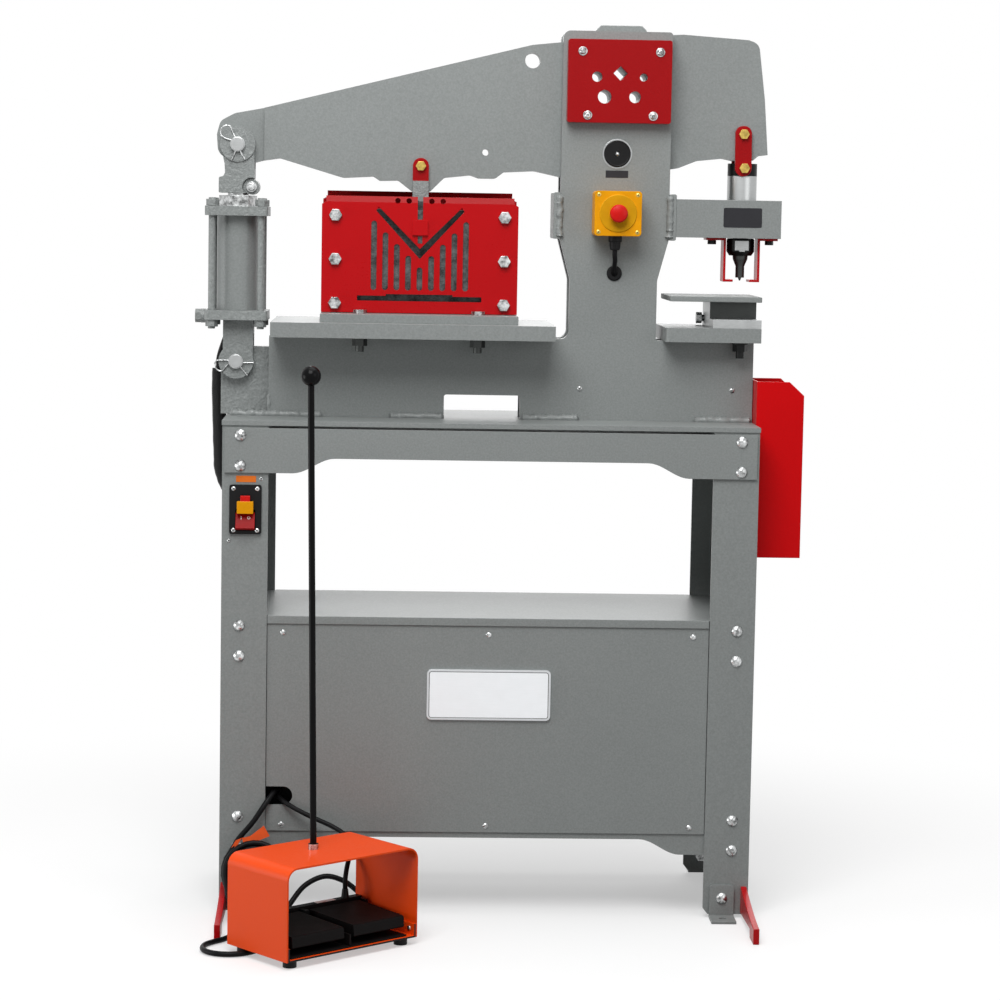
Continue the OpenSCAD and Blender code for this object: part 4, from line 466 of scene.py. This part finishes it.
def roundEdges(shell, edges, offset, segments, clamp=False):
    return bmesh.ops.bevel(shell, geom=edges, offset=offset, segments=segments, profile=0.5, affect="EDGES",
                           material=-1, clamp_overlap=clamp)


def blockShape(low, high, edge=0.6, segments=2):
    shell = boxShape(low, high)
    roundEdges(shell, shell.edges[:], edge, segments)
    shell.transform(Matrix.Scale(mm, 4))
    return shell


def thicken(shell, thickness):
    bmesh.ops.recalc_face_normals(shell, faces=shell.faces)
    bmesh.ops.solidify(shell, geom=shell.faces[:], thickness=thickness * mm)
    bmesh.ops.recalc_face_normals(shell, faces=shell.faces)


def strapShape(ring, width, along, thickness):
    shell = bmesh.new()
    rows = [[shell.verts.new((p + along * width * k) * mm) for p in ring] for k in (-0.5, 0.5)]
    for i in range(len(ring)):
        j = (i + 1) % len(ring)
        shell.faces.new((rows[0][i], rows[0][j], rows[1][j], rows[1][i]))
    thicken(shell, thickness)
    return shell


def joinShapes(shapes):
    whole = shapes[0]
    for extra in shapes[1:]:
        scratch = bpy.data.meshes.new("scratch")
        extra.to_mesh(scratch)
        extra.free()
        whole.from_mesh(scratch)
        bpy.data.meshes.remove(scratch)
    return whole


# CAD nodes with rounded edges and a finish for each face
dressLook = {"merge": 2e-6, "flat": 0.6, "sharp": 32, "segments": 2}


def wholeIsland(start):
    island, front = {start}, [start]
    while front:
        for link in front.pop().link_edges:
            for vert in link.verts:
                if vert not in island:
                    island.add(vert)
                    front.append(vert)
    return island


def isSharp(edge):
    return edge.is_manifold and edge.calc_face_angle(0) > math.radians(dressLook["sharp"])


def dressNode(node, finishNames, edge=0.8, pick=None, cut=None):
    shell = bmesh.new()
    shell.from_mesh(nodes[node].data)
    bmesh.ops.remove_doubles(shell, verts=shell.verts, dist=dressLook["merge"])
    flat = math.radians(dressLook["flat"])
    bmesh.ops.dissolve_limit(shell, angle_limit=flat, verts=shell.verts, edges=shell.edges)
    if cut:
        bmesh.ops.bisect_plane(shell, geom=shell.verts[:] + shell.edges[:] + shell.faces[:], dist=1e-6,
                               plane_co=(0, 0, cut * mm), plane_no=(0, 0, 1))
    for face in shell.faces:
        face.material_index = pick(face.calc_center_median() / mm, face.normal) if pick else 0
    done = set()
    for start in shell.verts[:]:
        if start in done:
            continue
        island = wholeIsland(start)
        done |= island
        rim = list({e for v in island for e in v.link_edges if isSharp(e)})
        made = roundEdges(shell, rim, edge * mm, dressLook["segments"], True)
        done |= set(made["verts"])
    first, *rest = node.split("_")
    name = first + "".join(word.capitalize() for word in rest)
    piece = keepPiece(name, shell, finishNames, nodes[node]["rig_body"])
    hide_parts(node)
    return piece


# painted nodes: the radius of their edges, and the red ones' finish
greyNodes = {"stand_leg_left": 1.2, "stand_leg_right": 1.2, "stand_rails": 1.0, "cabinet_top": 0.9,
    "cabinet_panels": 0.7, "floor_clips": 0.9, "base_plate": 1.0, "frame_plate_front": 1.6,
    "frame_plate_rear": 1.6, "frame_spacers": 1.2, "shear_table": 1.6, "shear_base_plate": 1.4,
    "shear_cheeks": 1.0, "punch_arm": 1.6, "die_bed": 1.6, "beam": 1.8, "cylinder_barrel": 0.8}
for node, edge in greyNodes.items():
    dressNode(node, ["greyPaint"], edge)
dressNode("punch_table", ["tablePaint"], 1.2)
# the front guard's up-facing band gets the darker red as painted shade
bandShadeSplit = {"up": 0.15, "out": -0.3}  # the band that leans back
dressNode("shear_guard_front", ["redPaint", "linkPaint"], 0.8,
          lambda p, n: int(n.z > bandShadeSplit["up"] and n.y < bandShadeSplit["out"]))
redNodes = {"outriggers": (0.9, "redPaint"), "tool_bin": (0.8, "binPaint"), "shear_guard_rear": (0.8, "redPaint"),
    "rod_shear_guard": (2.6, "linkPaint")}
for node, (edge, finish) in redNodes.items():
    dressNode(node, [finish], edge)

# metal nodes: splits say where one finish gives way to the next, in millimetres
metalNodes = {"stand_fasteners": ("zincPlate", 0.5), "guard_bolts": ("zincPlate", 0.6),
    "main_pivot_pin": ("turnedSteel", 0.6), "fixed_blade": ("bladeSteel", 0.4), "die": ("darkSteel", 0.5),
    "motor_rotor": ("turnedSteel", 0.6), "piston_rod": ("turnedSteel", 0.6), "clevis_pin": ("turnedSteel", 0.8),
    "punch": ("darkSteel", 0.4)}
for node, (finish, edge) in metalNodes.items():
    dressNode(node, [finish], edge)
# heads above the table are zinc, the die bed's nut black steel; the zinc nuts under the shear table get dark steel as
# painted shade
boltSplit = {"heads": 1000, "bed": 300}
dressNode("table_bolts", ["blackSteel", "zincPlate", "darkSteel"], 0.6,
          lambda p, n: 1 if p.z > boltSplit["heads"] else 0 if p.x > boltSplit["bed"] else 2)
# the die holder's front faces above the flange get dark steel as a painted shadow of the table; the bolt is zinc
holderSplit = {"bolt": 369.5, "facing": -0.9, "flange": 1005.5}


def pickHolder(p, n):
    if p.x < holderSplit["bolt"]:
        return 2
    return int(n.y < holderSplit["facing"] and p.z > holderSplit["flange"])


dressNode("die_holder", ["groundSteel", "darkSteel", "zincPlate"], 1.0, pickHolder)
capsSplit = {"gland": 1180.5, "axis": (-431, 0), "reach": 33}
dressNode("cylinder_caps", ["castPaint", "zincPlate"], 1.4,
          lambda p, n: int(p.z > capsSplit["gland"] and math.dist(p.xy, capsSplit["axis"]) < capsSplit["reach"]))
clevisSplit = {"face": 22.05, "bolt": (-407.5, 1212.5), "reach": 9.2}


def pickClevis(p, n):
    return int(abs(p.y) > clevisSplit["face"] and math.dist(p.xz, clevisSplit["bolt"]) < clevisSplit["reach"])


dressNode("rod_clevis", ["castPaint", "zincPlate"], 1.4, pickClevis)
dressNode("oil_tank", ["unitPaint"], 1.0)
dressNode("pump_motor", ["unitPaint"], 1.0)
lugSplit = {"pin": 30}
dressNode("cylinder_lug", ["castPaint", "turnedSteel"], 1.4, lambda p, n: int(abs(p.y) > lugSplit["pin"]))
greaseSplit = {"front": -44, "nipple": (207, 1279), "reach": 3.8}


def pickGrease(p, n):
    return int(p.y < greaseSplit["front"] and math.dist(p.xz, greaseSplit["nipple"]) < greaseSplit["reach"])


dressNode("grease_cap", ["blackPlastic", "zincPlate"], 0.5, pickGrease)
stripperSplit = {"low": 1128, "high": 1136.9, "middle": 424, "apart": 49, "reach": 7.6}


def pickStripper(p, n):
    aside = abs(abs(p.x - stripperSplit["middle"]) - stripperSplit["apart"])
    return int(stripperSplit["low"] < p.z < stripperSplit["high"] and aside < stripperSplit["reach"])


dressNode("strippers", ["redPaint", "blackSteel"], 0.8, pickStripper)
ramSplit = {"low": 1119, "high": 1137, "facing": 0.98, "nut": 1140.6, "top": 1246}


def pickRam(p, n):
    if ramSplit["low"] < p.z < ramSplit["high"] and abs(n.y) > ramSplit["facing"]:
        return 2
    return int(p.z < ramSplit["nut"] or p.z > ramSplit["top"])


dressNode("punch_ram", ["turnedSteel", "blackSteel", "groundSteel"], 0.8, pickRam, cut=ramSplit["top"])
linkSplit = {"bolts": 28.35}
dressNode("punch_links", ["linkPaint", "goldZinc"], 0.8, lambda p, n: int(abs(p.y) > linkSplit["bolts"]))
bladeSplit = {"bolts": 28.35, "boltLow": 1240, "strap": 20.2, "strapLow": 1228, "neck": 1200}


def pickBlade(p, n):
    if abs(p.y) > bladeSplit["bolts"] and p.z > bladeSplit["boltLow"]:
        return 2
    if abs(p.y) > bladeSplit["strap"] and p.z > bladeSplit["strapLow"]:
        return 1
    return 3 if p.z > bladeSplit["neck"] else 0


dressNode("moving_blade", ["bladeSteel", "linkPaint", "goldZinc", "castPaint"], 0.8, pickBlade,
          cut=bladeSplit["strapLow"])

# switches
stopSplit = {"disc": -102.05}
dressNode("estop_box", ["yellowPlastic", "discYellow"], 1.6, lambda p, n: int(p.y < stopSplit["disc"]))
dressNode("estop_button", ["redPlastic"], 0.8)
dressNode("switch_plate", ["blackPlastic"], 0.8)
dressNode("switch_paddle", ["paddleRed"], 1.0)
keySplit = {"red": 696.02}
dressNode("switch_key", ["yellowPlastic", "redPlastic"], 0.8, lambda p, n: int(p.z > keySplit["red"]))

# foot switch: it stands turned, so its base is picked in its own directions
footTurn = {"corner": (-318, -527), "yaw": 40}
footSplit = {"feet": 11.9, "pan": 15.1, "sides": (6.8, 259.2)}
rodSplit = {"nut": 157, "collar": 169.5, "axis": (-282.4, -379.6), "rod": 5.8}


def onFoot(p):
    a = math.radians(footTurn["yaw"])
    x, y = p[0] - footTurn["corner"][0], p[1] - footTurn["corner"][1]
    return Vector((x * math.cos(a) + y * math.sin(a), y * math.cos(a) - x * math.sin(a), p[2]))


def pickFootBase(p, n):
    q = onFoot(p)
    left, right = footSplit["sides"]
    return int(q.z < footSplit["feet"] or (q.z > footSplit["pan"] and left < q.x < right))


def pickRod(p, n):
    collar = p.z < rodSplit["collar"] and math.dist(p.xy, rodSplit["axis"]) > rodSplit["rod"]
    return int(p.z < rodSplit["nut"] or collar)


dressNode("foot_guard", ["orangePaint"], 0.8)
dressNode("foot_base", ["orangePaint", "blackPlastic"], 0.7, pickFootBase)
dressNode("foot_pedal_left", ["treadRubber"], 1.2)
dressNode("foot_pedal_right", ["treadRubber"], 1.2)
dressNode("carry_rod", ["glossBlack", "zincPlate"], 0.6, pickRod)
print("CAD nodes dressed")

# plug on the lead's end: two blades and a round pin
plugLook = {"from": (-167, -176, 13), "along": (0.74, 0.67, 0),
    "profile": [(0, 0), (6, 0), (6.2, 2), (5.4, 3), (6.6, 5), (5.9, 6), (7.2, 9), (6.4, 10), (7.8, 13), (7.0, 14),
        (8.4, 18), (9.5, 20), (11.6, 21), (12.5, 23), (12.5, 41), (11.8, 43), (10.5, 44), (0, 44)],
    "blades": [((43.5, y - 0.8, -1), (62, y + 0.8, 5.5)) for y in (-6.3, 6.3)], "bladeEdge": 0.35,
    "pin": [(0, 43.5), (2.4, 43.5), (2.4, 61), (1.6, 63.4), (0, 64)], "pinLow": -6}
plugBody = turnedShape(plugLook["profile"], plugLook["from"], Vector(plugLook["along"]).normalized())
leadPlug = keepPiece("leadPlug", plugBody, ["blackPlastic"])
plugYaw = math.atan2(plugLook["along"][1], plugLook["along"][0])
prongs = joinShapes([blockShape(low, high, plugLook["bladeEdge"]) for low, high in plugLook["blades"]]
                    + [turnedShape(plugLook["pin"], (0, 0, plugLook["pinLow"]), (1, 0, 0), 20)])
prongs.transform(Matrix.Translation(Vector(plugLook["from"]) * mm) @ Matrix.Rotation(plugYaw, 4, "Z"))
plugProngs = keepPiece("plugProngs", prongs, ["zincPlate"])
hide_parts("power_plug")

# strap round the coil and a tag folded over it
tagLook = {"at": (-406, -188, 121), "strap": 4, "strapThick": 1.1, "strapRadius": 11.4, "strapSides": 24, "thick": 0.8,
    "flaps": [[(-392, -188, 137.7), (-370, -186, 154.8), (-360, -186, 137.6), (-388, -189, 126)],
        [(-428, -196, 110.8), (-415.7, -196, 131.9), (-405.8, -194, 135.9), (-414.4, -196, 121.6)],
        [(-405.8, -194, 135.9), (-392, -188, 137.7), (-388, -189, 126), (-402, -195, 123)]]}
near = min(range(2, len(coil) - 2), key=lambda i: (coil[i] - Vector(tagLook["at"])).length)
along = (coil[near + 1] - coil[near - 1]).normalized()
inward = (Vector(leadRoute["centre"]) - coil[near]).normalized()
strapMiddle = coil[near] + inward * leadRoute["step"] * 0.5
strapTurn = Matrix.Translation(strapMiddle) @ Matrix((inward, along.cross(inward), along)).transposed().to_4x4()
strapAngles = [math.tau * i / tagLook["strapSides"] for i in range(tagLook["strapSides"])]
strapLine = [strapTurn @ Vector((tagLook["strapRadius"] * math.cos(a), tagLook["strapRadius"] * math.sin(a), 0))
             for a in strapAngles]
flaps = bmesh.new()
for flap in tagLook["flaps"]:
    flaps.faces.new([flaps.verts.new(Vector(q) * mm) for q in flap])
bmesh.ops.remove_doubles(flaps, verts=flaps.verts, dist=1e-6)
thicken(flaps, tagLook["thick"])
coilTag = keepPiece("coilTag", flaps, ["tagOrange"])
strap = strapShape(strapLine, tagLook["strap"], along, tagLook["strapThick"])
coilStrap = keepPiece("coilStrap", strap, ["blackPlastic"])
runLength(leadLine)

# gland and grommet of the stop button's cable
glandLook = {"nutAt": (204, -72, 0), "grommetAt": (206, -42, 1078.5),
    "nut": [(0, 1141.4), (11.4, 1141.4), (11.5, 1132.5), (10.6, 1131.5), (9.5, 1131.2), (9.2, 1124), (8.2, 1119),
        (6.4, 1117.6), (4.2, 1117.6), (0, 1118)],
    "grommet": [(0, 0), (13, 0), (13, 1.8), (12.2, 3.2), (10, 4.5), (5.4, 4.5), (4.4, 3.6), (0, 3.6)]}
gland = joinShapes([turnedShape(glandLook["nut"], glandLook["nutAt"], (0, 0, 1)),
                    turnedShape(glandLook["grommet"], glandLook["grommetAt"], (0, -1, 0))])
keepPiece("stopGland", gland, ["blackPlastic"])


# bare plates, the largest with a raised rim
def isAcross(edge):
    return abs((edge.verts[0].co - edge.verts[1].co).normalized().y) > 0.9


def plateShape(low, high, corner, edge=0.25, rim=None):
    shell = boxShape(low, high)
    roundEdges(shell, [e for e in shell.edges if isAcross(e)], corner, 5)
    front = min(shell.faces, key=lambda f: f.calc_center_median().y)
    roundEdges(shell, front.edges[:], edge, 2)
    if rim:
        front = min(shell.faces, key=lambda f: (round(f.calc_center_median().y, 3), -f.calc_area()))
        bmesh.ops.inset_individual(shell, faces=[front], thickness=rim["width"], depth=0)
        step = bmesh.ops.inset_individual(shell, faces=[front], thickness=rim["step"], depth=-rim["sink"])
        for face in step["faces"]:
            face.material_index = 2
        front.material_index = 1
    shell.transform(Matrix.Scale(mm, 4))
    return shell


plateLook = {"badge": ((-102, -167.4, 333), (105, -163.05, 418.5), 8), "badgeEdge": 1.0,
    "badgeRim": {"width": 2.6, "step": 1.1, "sink": 0.7},
    "arm": ((389, -45.6, 1159), (454, -45.02, 1192), 2.5), "cap": ((188, -42.6, 1239), (226, -42.02, 1251), 0.8),
    "leg": ((-422, -165.6, 727), (-389, -165.02, 737.5), 0.6)}
badge = plateShape(*plateLook["badge"], plateLook["badgeEdge"], plateLook["badgeRim"])
keepPiece("badgePlate", badge, ["badgeSilver", "badgeField", "darkSteel"])
keepPiece("armPlate", plateShape(*plateLook["arm"]), ["plateBlack"])
keepPiece("capPlate", plateShape(*plateLook["cap"]), ["plateBlack"])
keepPiece("legPlate", plateShape(*plateLook["leg"]), ["plateOrange"])
print("plates set")

# small screws: a domed head with a cross recess, in parts of its radius and height; the recess is painted shade, dark
# steel bars set into the dome
crossLook = {"dome": [(0, 1), (0.45, 0.94), (0.8, 0.68), (0.97, 0.3), (1, 0)], "seat": -0.2,
    "long": 0.95, "wide": 0.26, "low": 0.6, "high": 1.02, "edge": 0.08}


def crossScrew(centre, axis, radius, height):
    dome = [(radius * r, height * h) for r, h in crossLook["dome"]] + [(0, crossLook["seat"])]
    head = turnedShape(dome, centre, axis, 24)
    turn = Matrix.Scale(mm, 4) @ Matrix.Translation(centre) @ turnTo(axis)
    long, wide = radius * crossLook["long"] / 2, radius * crossLook["wide"] / 2
    low, high = height * crossLook["low"], height * crossLook["high"]
    for x, y in ((long, wide), (wide, long)):
        bar = blockShape((-x, -y, low), (x, y, high), crossLook["edge"], 1)
        bar.transform(turn @ Matrix.Scale(1 / mm, 4))
        for face in bar.faces:
            face.material_index = 1
        head = joinShapes([head, bar])
    return head


screwLook = {
    "stopBoxScrews": {"at": [(206 + x, -102, 1179 + z) for x in (-32.5, 32.5) for z in (-31, 31)],
                      "size": (3.6, 1.2), "finish": "goldZinc"},
    "switchScrews": {"at": [(-406 + x, -170, 682 + z) for x in (-19.5, 19.5) for z in (-34.5, 34.5)],
                     "size": (3.6, 1.6), "finish": "zincPlate"},
    "legScrews": {"at": [(-380.5, -165, 733), (-433, -165, 629.5)], "size": (3.4, 1.8), "finish": "zincPlate"},
    "frameScrews": {"at": [(151.7, -42, 882.5), (410.7, -42, 883)], "size": (4.6, 2.2), "finish": "zincPlate"},
}
for name, look in screwLook.items():
    screws = joinShapes([crossScrew(at, (0, -1, 0), *look["size"]) for at in look["at"]])
    keepPiece(name, screws, [look["finish"], "darkSteel"])
print("screws set")

# weld beads: a ring drawn along the seam, each ripple a little different
beadLook = {"sides": 10, "tip": 0.35, "ripple": 2.6, "beat": 0.16, "swell": 0.3, "swellPace": 0.7, "ends": 3,
    "drift": 0.35, "driftPace": 0.31}


def beadShape(start, end, radius, ripple=beadLook["ripple"], blob=1.0, seed=0):
    start, end = Vector(start), Vector(end)
    count = max(4, int((end - start).length / ripple))
    tip = radius * beadLook["tip"]
    shell = bmesh.new()
    turn = Matrix.Translation(start) @ turnTo((end - start).normalized())
    ring = bmesh.ops.create_circle(shell, segments=beadLook["sides"], radius=tip, matrix=turn)["verts"]
    bmesh.ops.contextual_create(shell, geom=ring)
    edges = shell.edges[:]
    for i in range(1, count + 1):
        made = bmesh.ops.extrude_edge_only(shell, edges=edges)["geom"]
        ring = [g for g in made if isinstance(g, bmesh.types.BMVert)]
        edges = [g for g in made if isinstance(g, bmesh.types.BMEdge) and all(v in ring for v in g.verts)]
        swell = 1 + beadLook["beat"] * (i % 2)
        swell += beadLook["swell"] * noise.noise((i * beadLook["swellPace"] + seed, seed * 3.1, 0.5))
        swell *= 1 + (blob - 1) * max(0, 1 - min(i, count - i) / beadLook["ends"])
        pace = i * beadLook["driftPace"]
        drift = Vector([noise.noise((pace, seed + 10 * k - 3, k)) for k in (1, 2, 3)])
        place = start.lerp(end, i / count) + drift * radius * beadLook["drift"]
        middle = sum((v.co for v in ring), Vector()) / len(ring)
        for vert in ring:
            vert.co = place + (vert.co - middle).normalized() * (radius * swell if i < count else tip)
    bmesh.ops.contextual_create(shell, geom=ring)
    bmesh.ops.recalc_face_normals(shell, faces=shell.faces)
    shell.transform(Matrix.Scale(mm, 4))
    return shell


weldLook = {"bars": [(x, y) for x in (111.5, 298.5) for y in (-43.5, 43.5)], "barLow": 1138, "barHigh": 1210,
    "barRadius": 5.4, "barBlob": 1.25,
    "seams": [(-440, -284), (-171, -78), (53, 150), (346, 444)], "seamY": 43.8, "seamZ": 831.5, "seamRadius": 6.2,
    "seamRipple": 3.4, "seamBlob": 1.2,
    "lugX": -374, "lugY": 40, "lugLow": 832, "lugHigh": 866, "lugRadius": 3.4}


def barBeads(look):
    return [beadShape((x, y, look["barLow"]), (x, y, look["barHigh"]), look["barRadius"], blob=look["barBlob"], seed=i)
            for i, (x, y) in enumerate(look["bars"])]


def seamBeads(look):
    beads = []
    for i, (left, right) in enumerate(look["seams"]):
        for side in (-1, 1):
            start, end = ((x, side * look["seamY"], look["seamZ"]) for x in (left, right))
            beads.append(beadShape(start, end, look["seamRadius"], look["seamRipple"], look["seamBlob"], i + 9 * side))
    for side in (-1, 1):
        start, end = ((look["lugX"], side * look["lugY"], z) for z in (look["lugLow"], look["lugHigh"]))
        beads.append(beadShape(start, end, look["lugRadius"], seed=40 + side))
    return beads


keepPiece("barWelds", joinShapes(barBeads(weldLook)), ["greyPaint"], flat=60)
keepPiece("seamWelds", joinShapes(seamBeads(weldLook)), ["greyPaint"], flat=60)
print("welds laid")

# cotter pins through the two cylinder pins, drawn about each pin's middle
cotterLook = {"wire": 2.6, "y": -31.4, "steps": 6,
    "upper": {"body": "rod", "middle": (-431, 1284), "points": [(-10.7, -27.5), (-4.2, -13), (-2, 0), (-7, 5), (-13, 7),
        (-20, 9), (-26, 13), (-28.5, 19), (-27, 26), (-21, 30.5), (-14.5, 30), (-11, 27), (-8, 20), (-4.8, 13), (1, 0),
        (5.4, -12.5), (13, -25.6)]},
    "lower": {"body": "frame", "middle": (-431, 919.5), "points": [(29.6, -2.4), (13.4, -2.4), (0, -1), (-13.4, 1.2),
        (-26, 1.2), (-32, 0.5), (-35.4, -4), (-34.5, -11), (-28, -16.5), (-22.3, -15.8), (-13.4, -5.7), (-3, -1),
        (4, -5), (8.5, -10), (19.9, -23.5)]}}
for name in ("upper", "lower"):
    look = cotterLook[name]
    points = [(look["middle"][0] + x, cotterLook["y"], look["middle"][1] + z) for x, z in look["points"]]
    line = [q * mm for q in smoothRoute(points, cotterLook["steps"])]
    cotter = layCord(name + "Cotter", line, cotterLook["wire"] * mm, "zincPlate")
    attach(cotter, look["body"])
print("cotters set")

# foot switch: mat, divider, pale strips and a screw
footLook = {"mat": ((13, 5, 15.1), (248, 122, 17.6), 0.8), "divider": ((131, 7, 17), (135, 118, 36), 1.5),
    "strips": [((42, 134.5, 56.02), (78, 144.5, 56.5), 0.15), ((168, 134.5, 56.02), (206, 144.5, 56.5), 0.15)],
    "screw": (259.6, 13, 25), "screwSize": (4.2, 2.4)}
footCorner = Vector((*footTurn["corner"], 0)) * mm
footPlace = Matrix.Translation(footCorner) @ Matrix.Rotation(math.radians(footTurn["yaw"]), 4, "Z")
footMat = [blockShape(*footLook["mat"]), blockShape(*footLook["divider"])]
footStrips = [blockShape(*strip) for strip in footLook["strips"]]
footScrew = [crossScrew(footLook["screw"], (-1, 0, 0), *footLook["screwSize"])]
for name, shapes, finish, slot in (("footMat", footMat, ["treadRubber"], "rubber"),
                                   ("footStrips", footStrips, ["paleStrip"], "bright_steel"),
                                   ("footScrew", footScrew, ["zincPlate", "darkSteel"], "zinc")):
    whole = joinShapes(shapes)
    whole.transform(footPlace)
    keepPiece(name, whole, finish)
print("foot switch finished")

# I and O on the switch paddle
markLook = {"left": -412.5, "right": -400, "y": -173.3, "z": 668.6, "lean": -24.4,
    "bar": ((-0.6, -0.25, -3), (0.6, 0.2, 3), 0.1, 1),
    "ring": [(1.5, -0.2), (2.7, -0.2), (2.7, 0.25), (1.5, 0.25), (1.5, -0.2)]}
bar = blockShape(*markLook["bar"])
bar.transform(Matrix.Translation((markLook["left"] * mm, 0, 0)))
ring = turnedShape(markLook["ring"], (0, 0, 0), (0, -1, 0), 20)
ring.transform(Matrix.Translation((markLook["right"] * mm, 0, 0)))
marks = joinShapes([bar, ring])
marksPlace = Matrix.Translation((0, markLook["y"] * mm, markLook["z"] * mm))
marks.transform(marksPlace @ Matrix.Rotation(math.radians(markLook["lean"]), 4, "X"))
keepPiece("paddleMarks", marks, ["paleStrip"], "paddle")
print("paddle marked")

# light, floor and background: each lamp's place, power and size
lightLook = {"aim": (0, 0, 0.9), "ambient": 0.14, "lamps": {
    "key": ((-0.45, -2.05, 3.0), 79, 1.7), "fill": ((2.3, -2.6, 1.7), 13, 1.8), "low": ((-2.6, -0.7, 0.5), 22, 1.2),
    "top": ((0.2, -0.1, 3.7), 50, 2.4), "rim": ((0.5, 2.8, 2.6), 40, 2.2)}}
floorLook = {"half": 40, "drop": 0.0004, "near": 0.6, "far": 1.7, "seen": 0.95, "bounced": 0.3, "least": 0.45}


# 1 where the camera sees, straight or in a reflection, and 0 for light on the object
def seenRays(w):
    camera, glossy, clear = (w.node("LightPath", {}, {}, "Is %s Ray" % kind)
                             for kind in ("Camera", "Glossy", "Transmission"))
    return (camera + glossy + clear).clip()


def hangLights(look):
    for name, (place, power, size) in look["lamps"].items():
        lamp = bpy.data.lights.new(name + "Light", "AREA")
        lamp.energy, lamp.size = power, size
        rig = bpy.data.objects.new(name + "Light", lamp)
        rig.location = place
        rig.rotation_mode = "QUATERNION"
        rig.rotation_quaternion = (Vector(look["aim"]) - Vector(place)).to_track_quat("-Z", "Y")
        bpy.context.scene.collection.objects.link(rig)
    world = bpy.data.worlds.new("studio")
    bpy.context.scene.world = world
    w = freshNodes(world)
    strength = seenRays(w) * (1 - look["ambient"]) + look["ambient"]
    sky = w.node("Background", {}, {"Color": (1, 1, 1, 1), "Strength": strength})
    w.node("OutputWorld", {}, {"Surface": sky})


def layFloor(look):
    shell = bmesh.new()
    bmesh.ops.create_grid(shell, x_segments=2, y_segments=2, size=look["half"])
    mesh = bpy.data.meshes.new("studioFloor")
    shell.to_mesh(mesh)
    shell.free()
    mesh.transform(Matrix.Translation((0, 0, -look["drop"])))
    floor = bpy.data.objects.new("studioFloor", mesh)
    bpy.context.scene.collection.objects.link(floor)
    made = bpy.data.materials.new("studioFloor")
    w = freshNodes(made)
    far = w.node("VectorMath", {"operation": "LENGTH"}, {0: w.place()}, "Value")
    away = w.node("MapRange", {"interpolation_type": "SMOOTHSTEP"},
                  {"Value": far, "From Min": look["near"], "From Max": look["far"]})
    seen = seenRays(w)
    grey = w.blend(seen, (look["bounced"],) * 3 + (1,), (look["seen"],) * 3 + (1,))
    pale = w.node("BsdfDiffuse", {}, {"Color": grey})
    white = w.node("Emission", {}, {"Color": (1, 1, 1, 1), "Strength": 1.0})
    glow = (away * (1 - look["least"]) + look["least"]) * seen
    mixed = w.node("MixShader", {}, {0: glow, 1: pale, 2: white})
    w.node("OutputMaterial", {}, {"Surface": mixed})
    mesh.materials.append(made)


hangLights(lightLook)
layFloor(floorLook)
bpy.context.scene.view_settings.view_transform = "Standard"
print("lights and floor set")
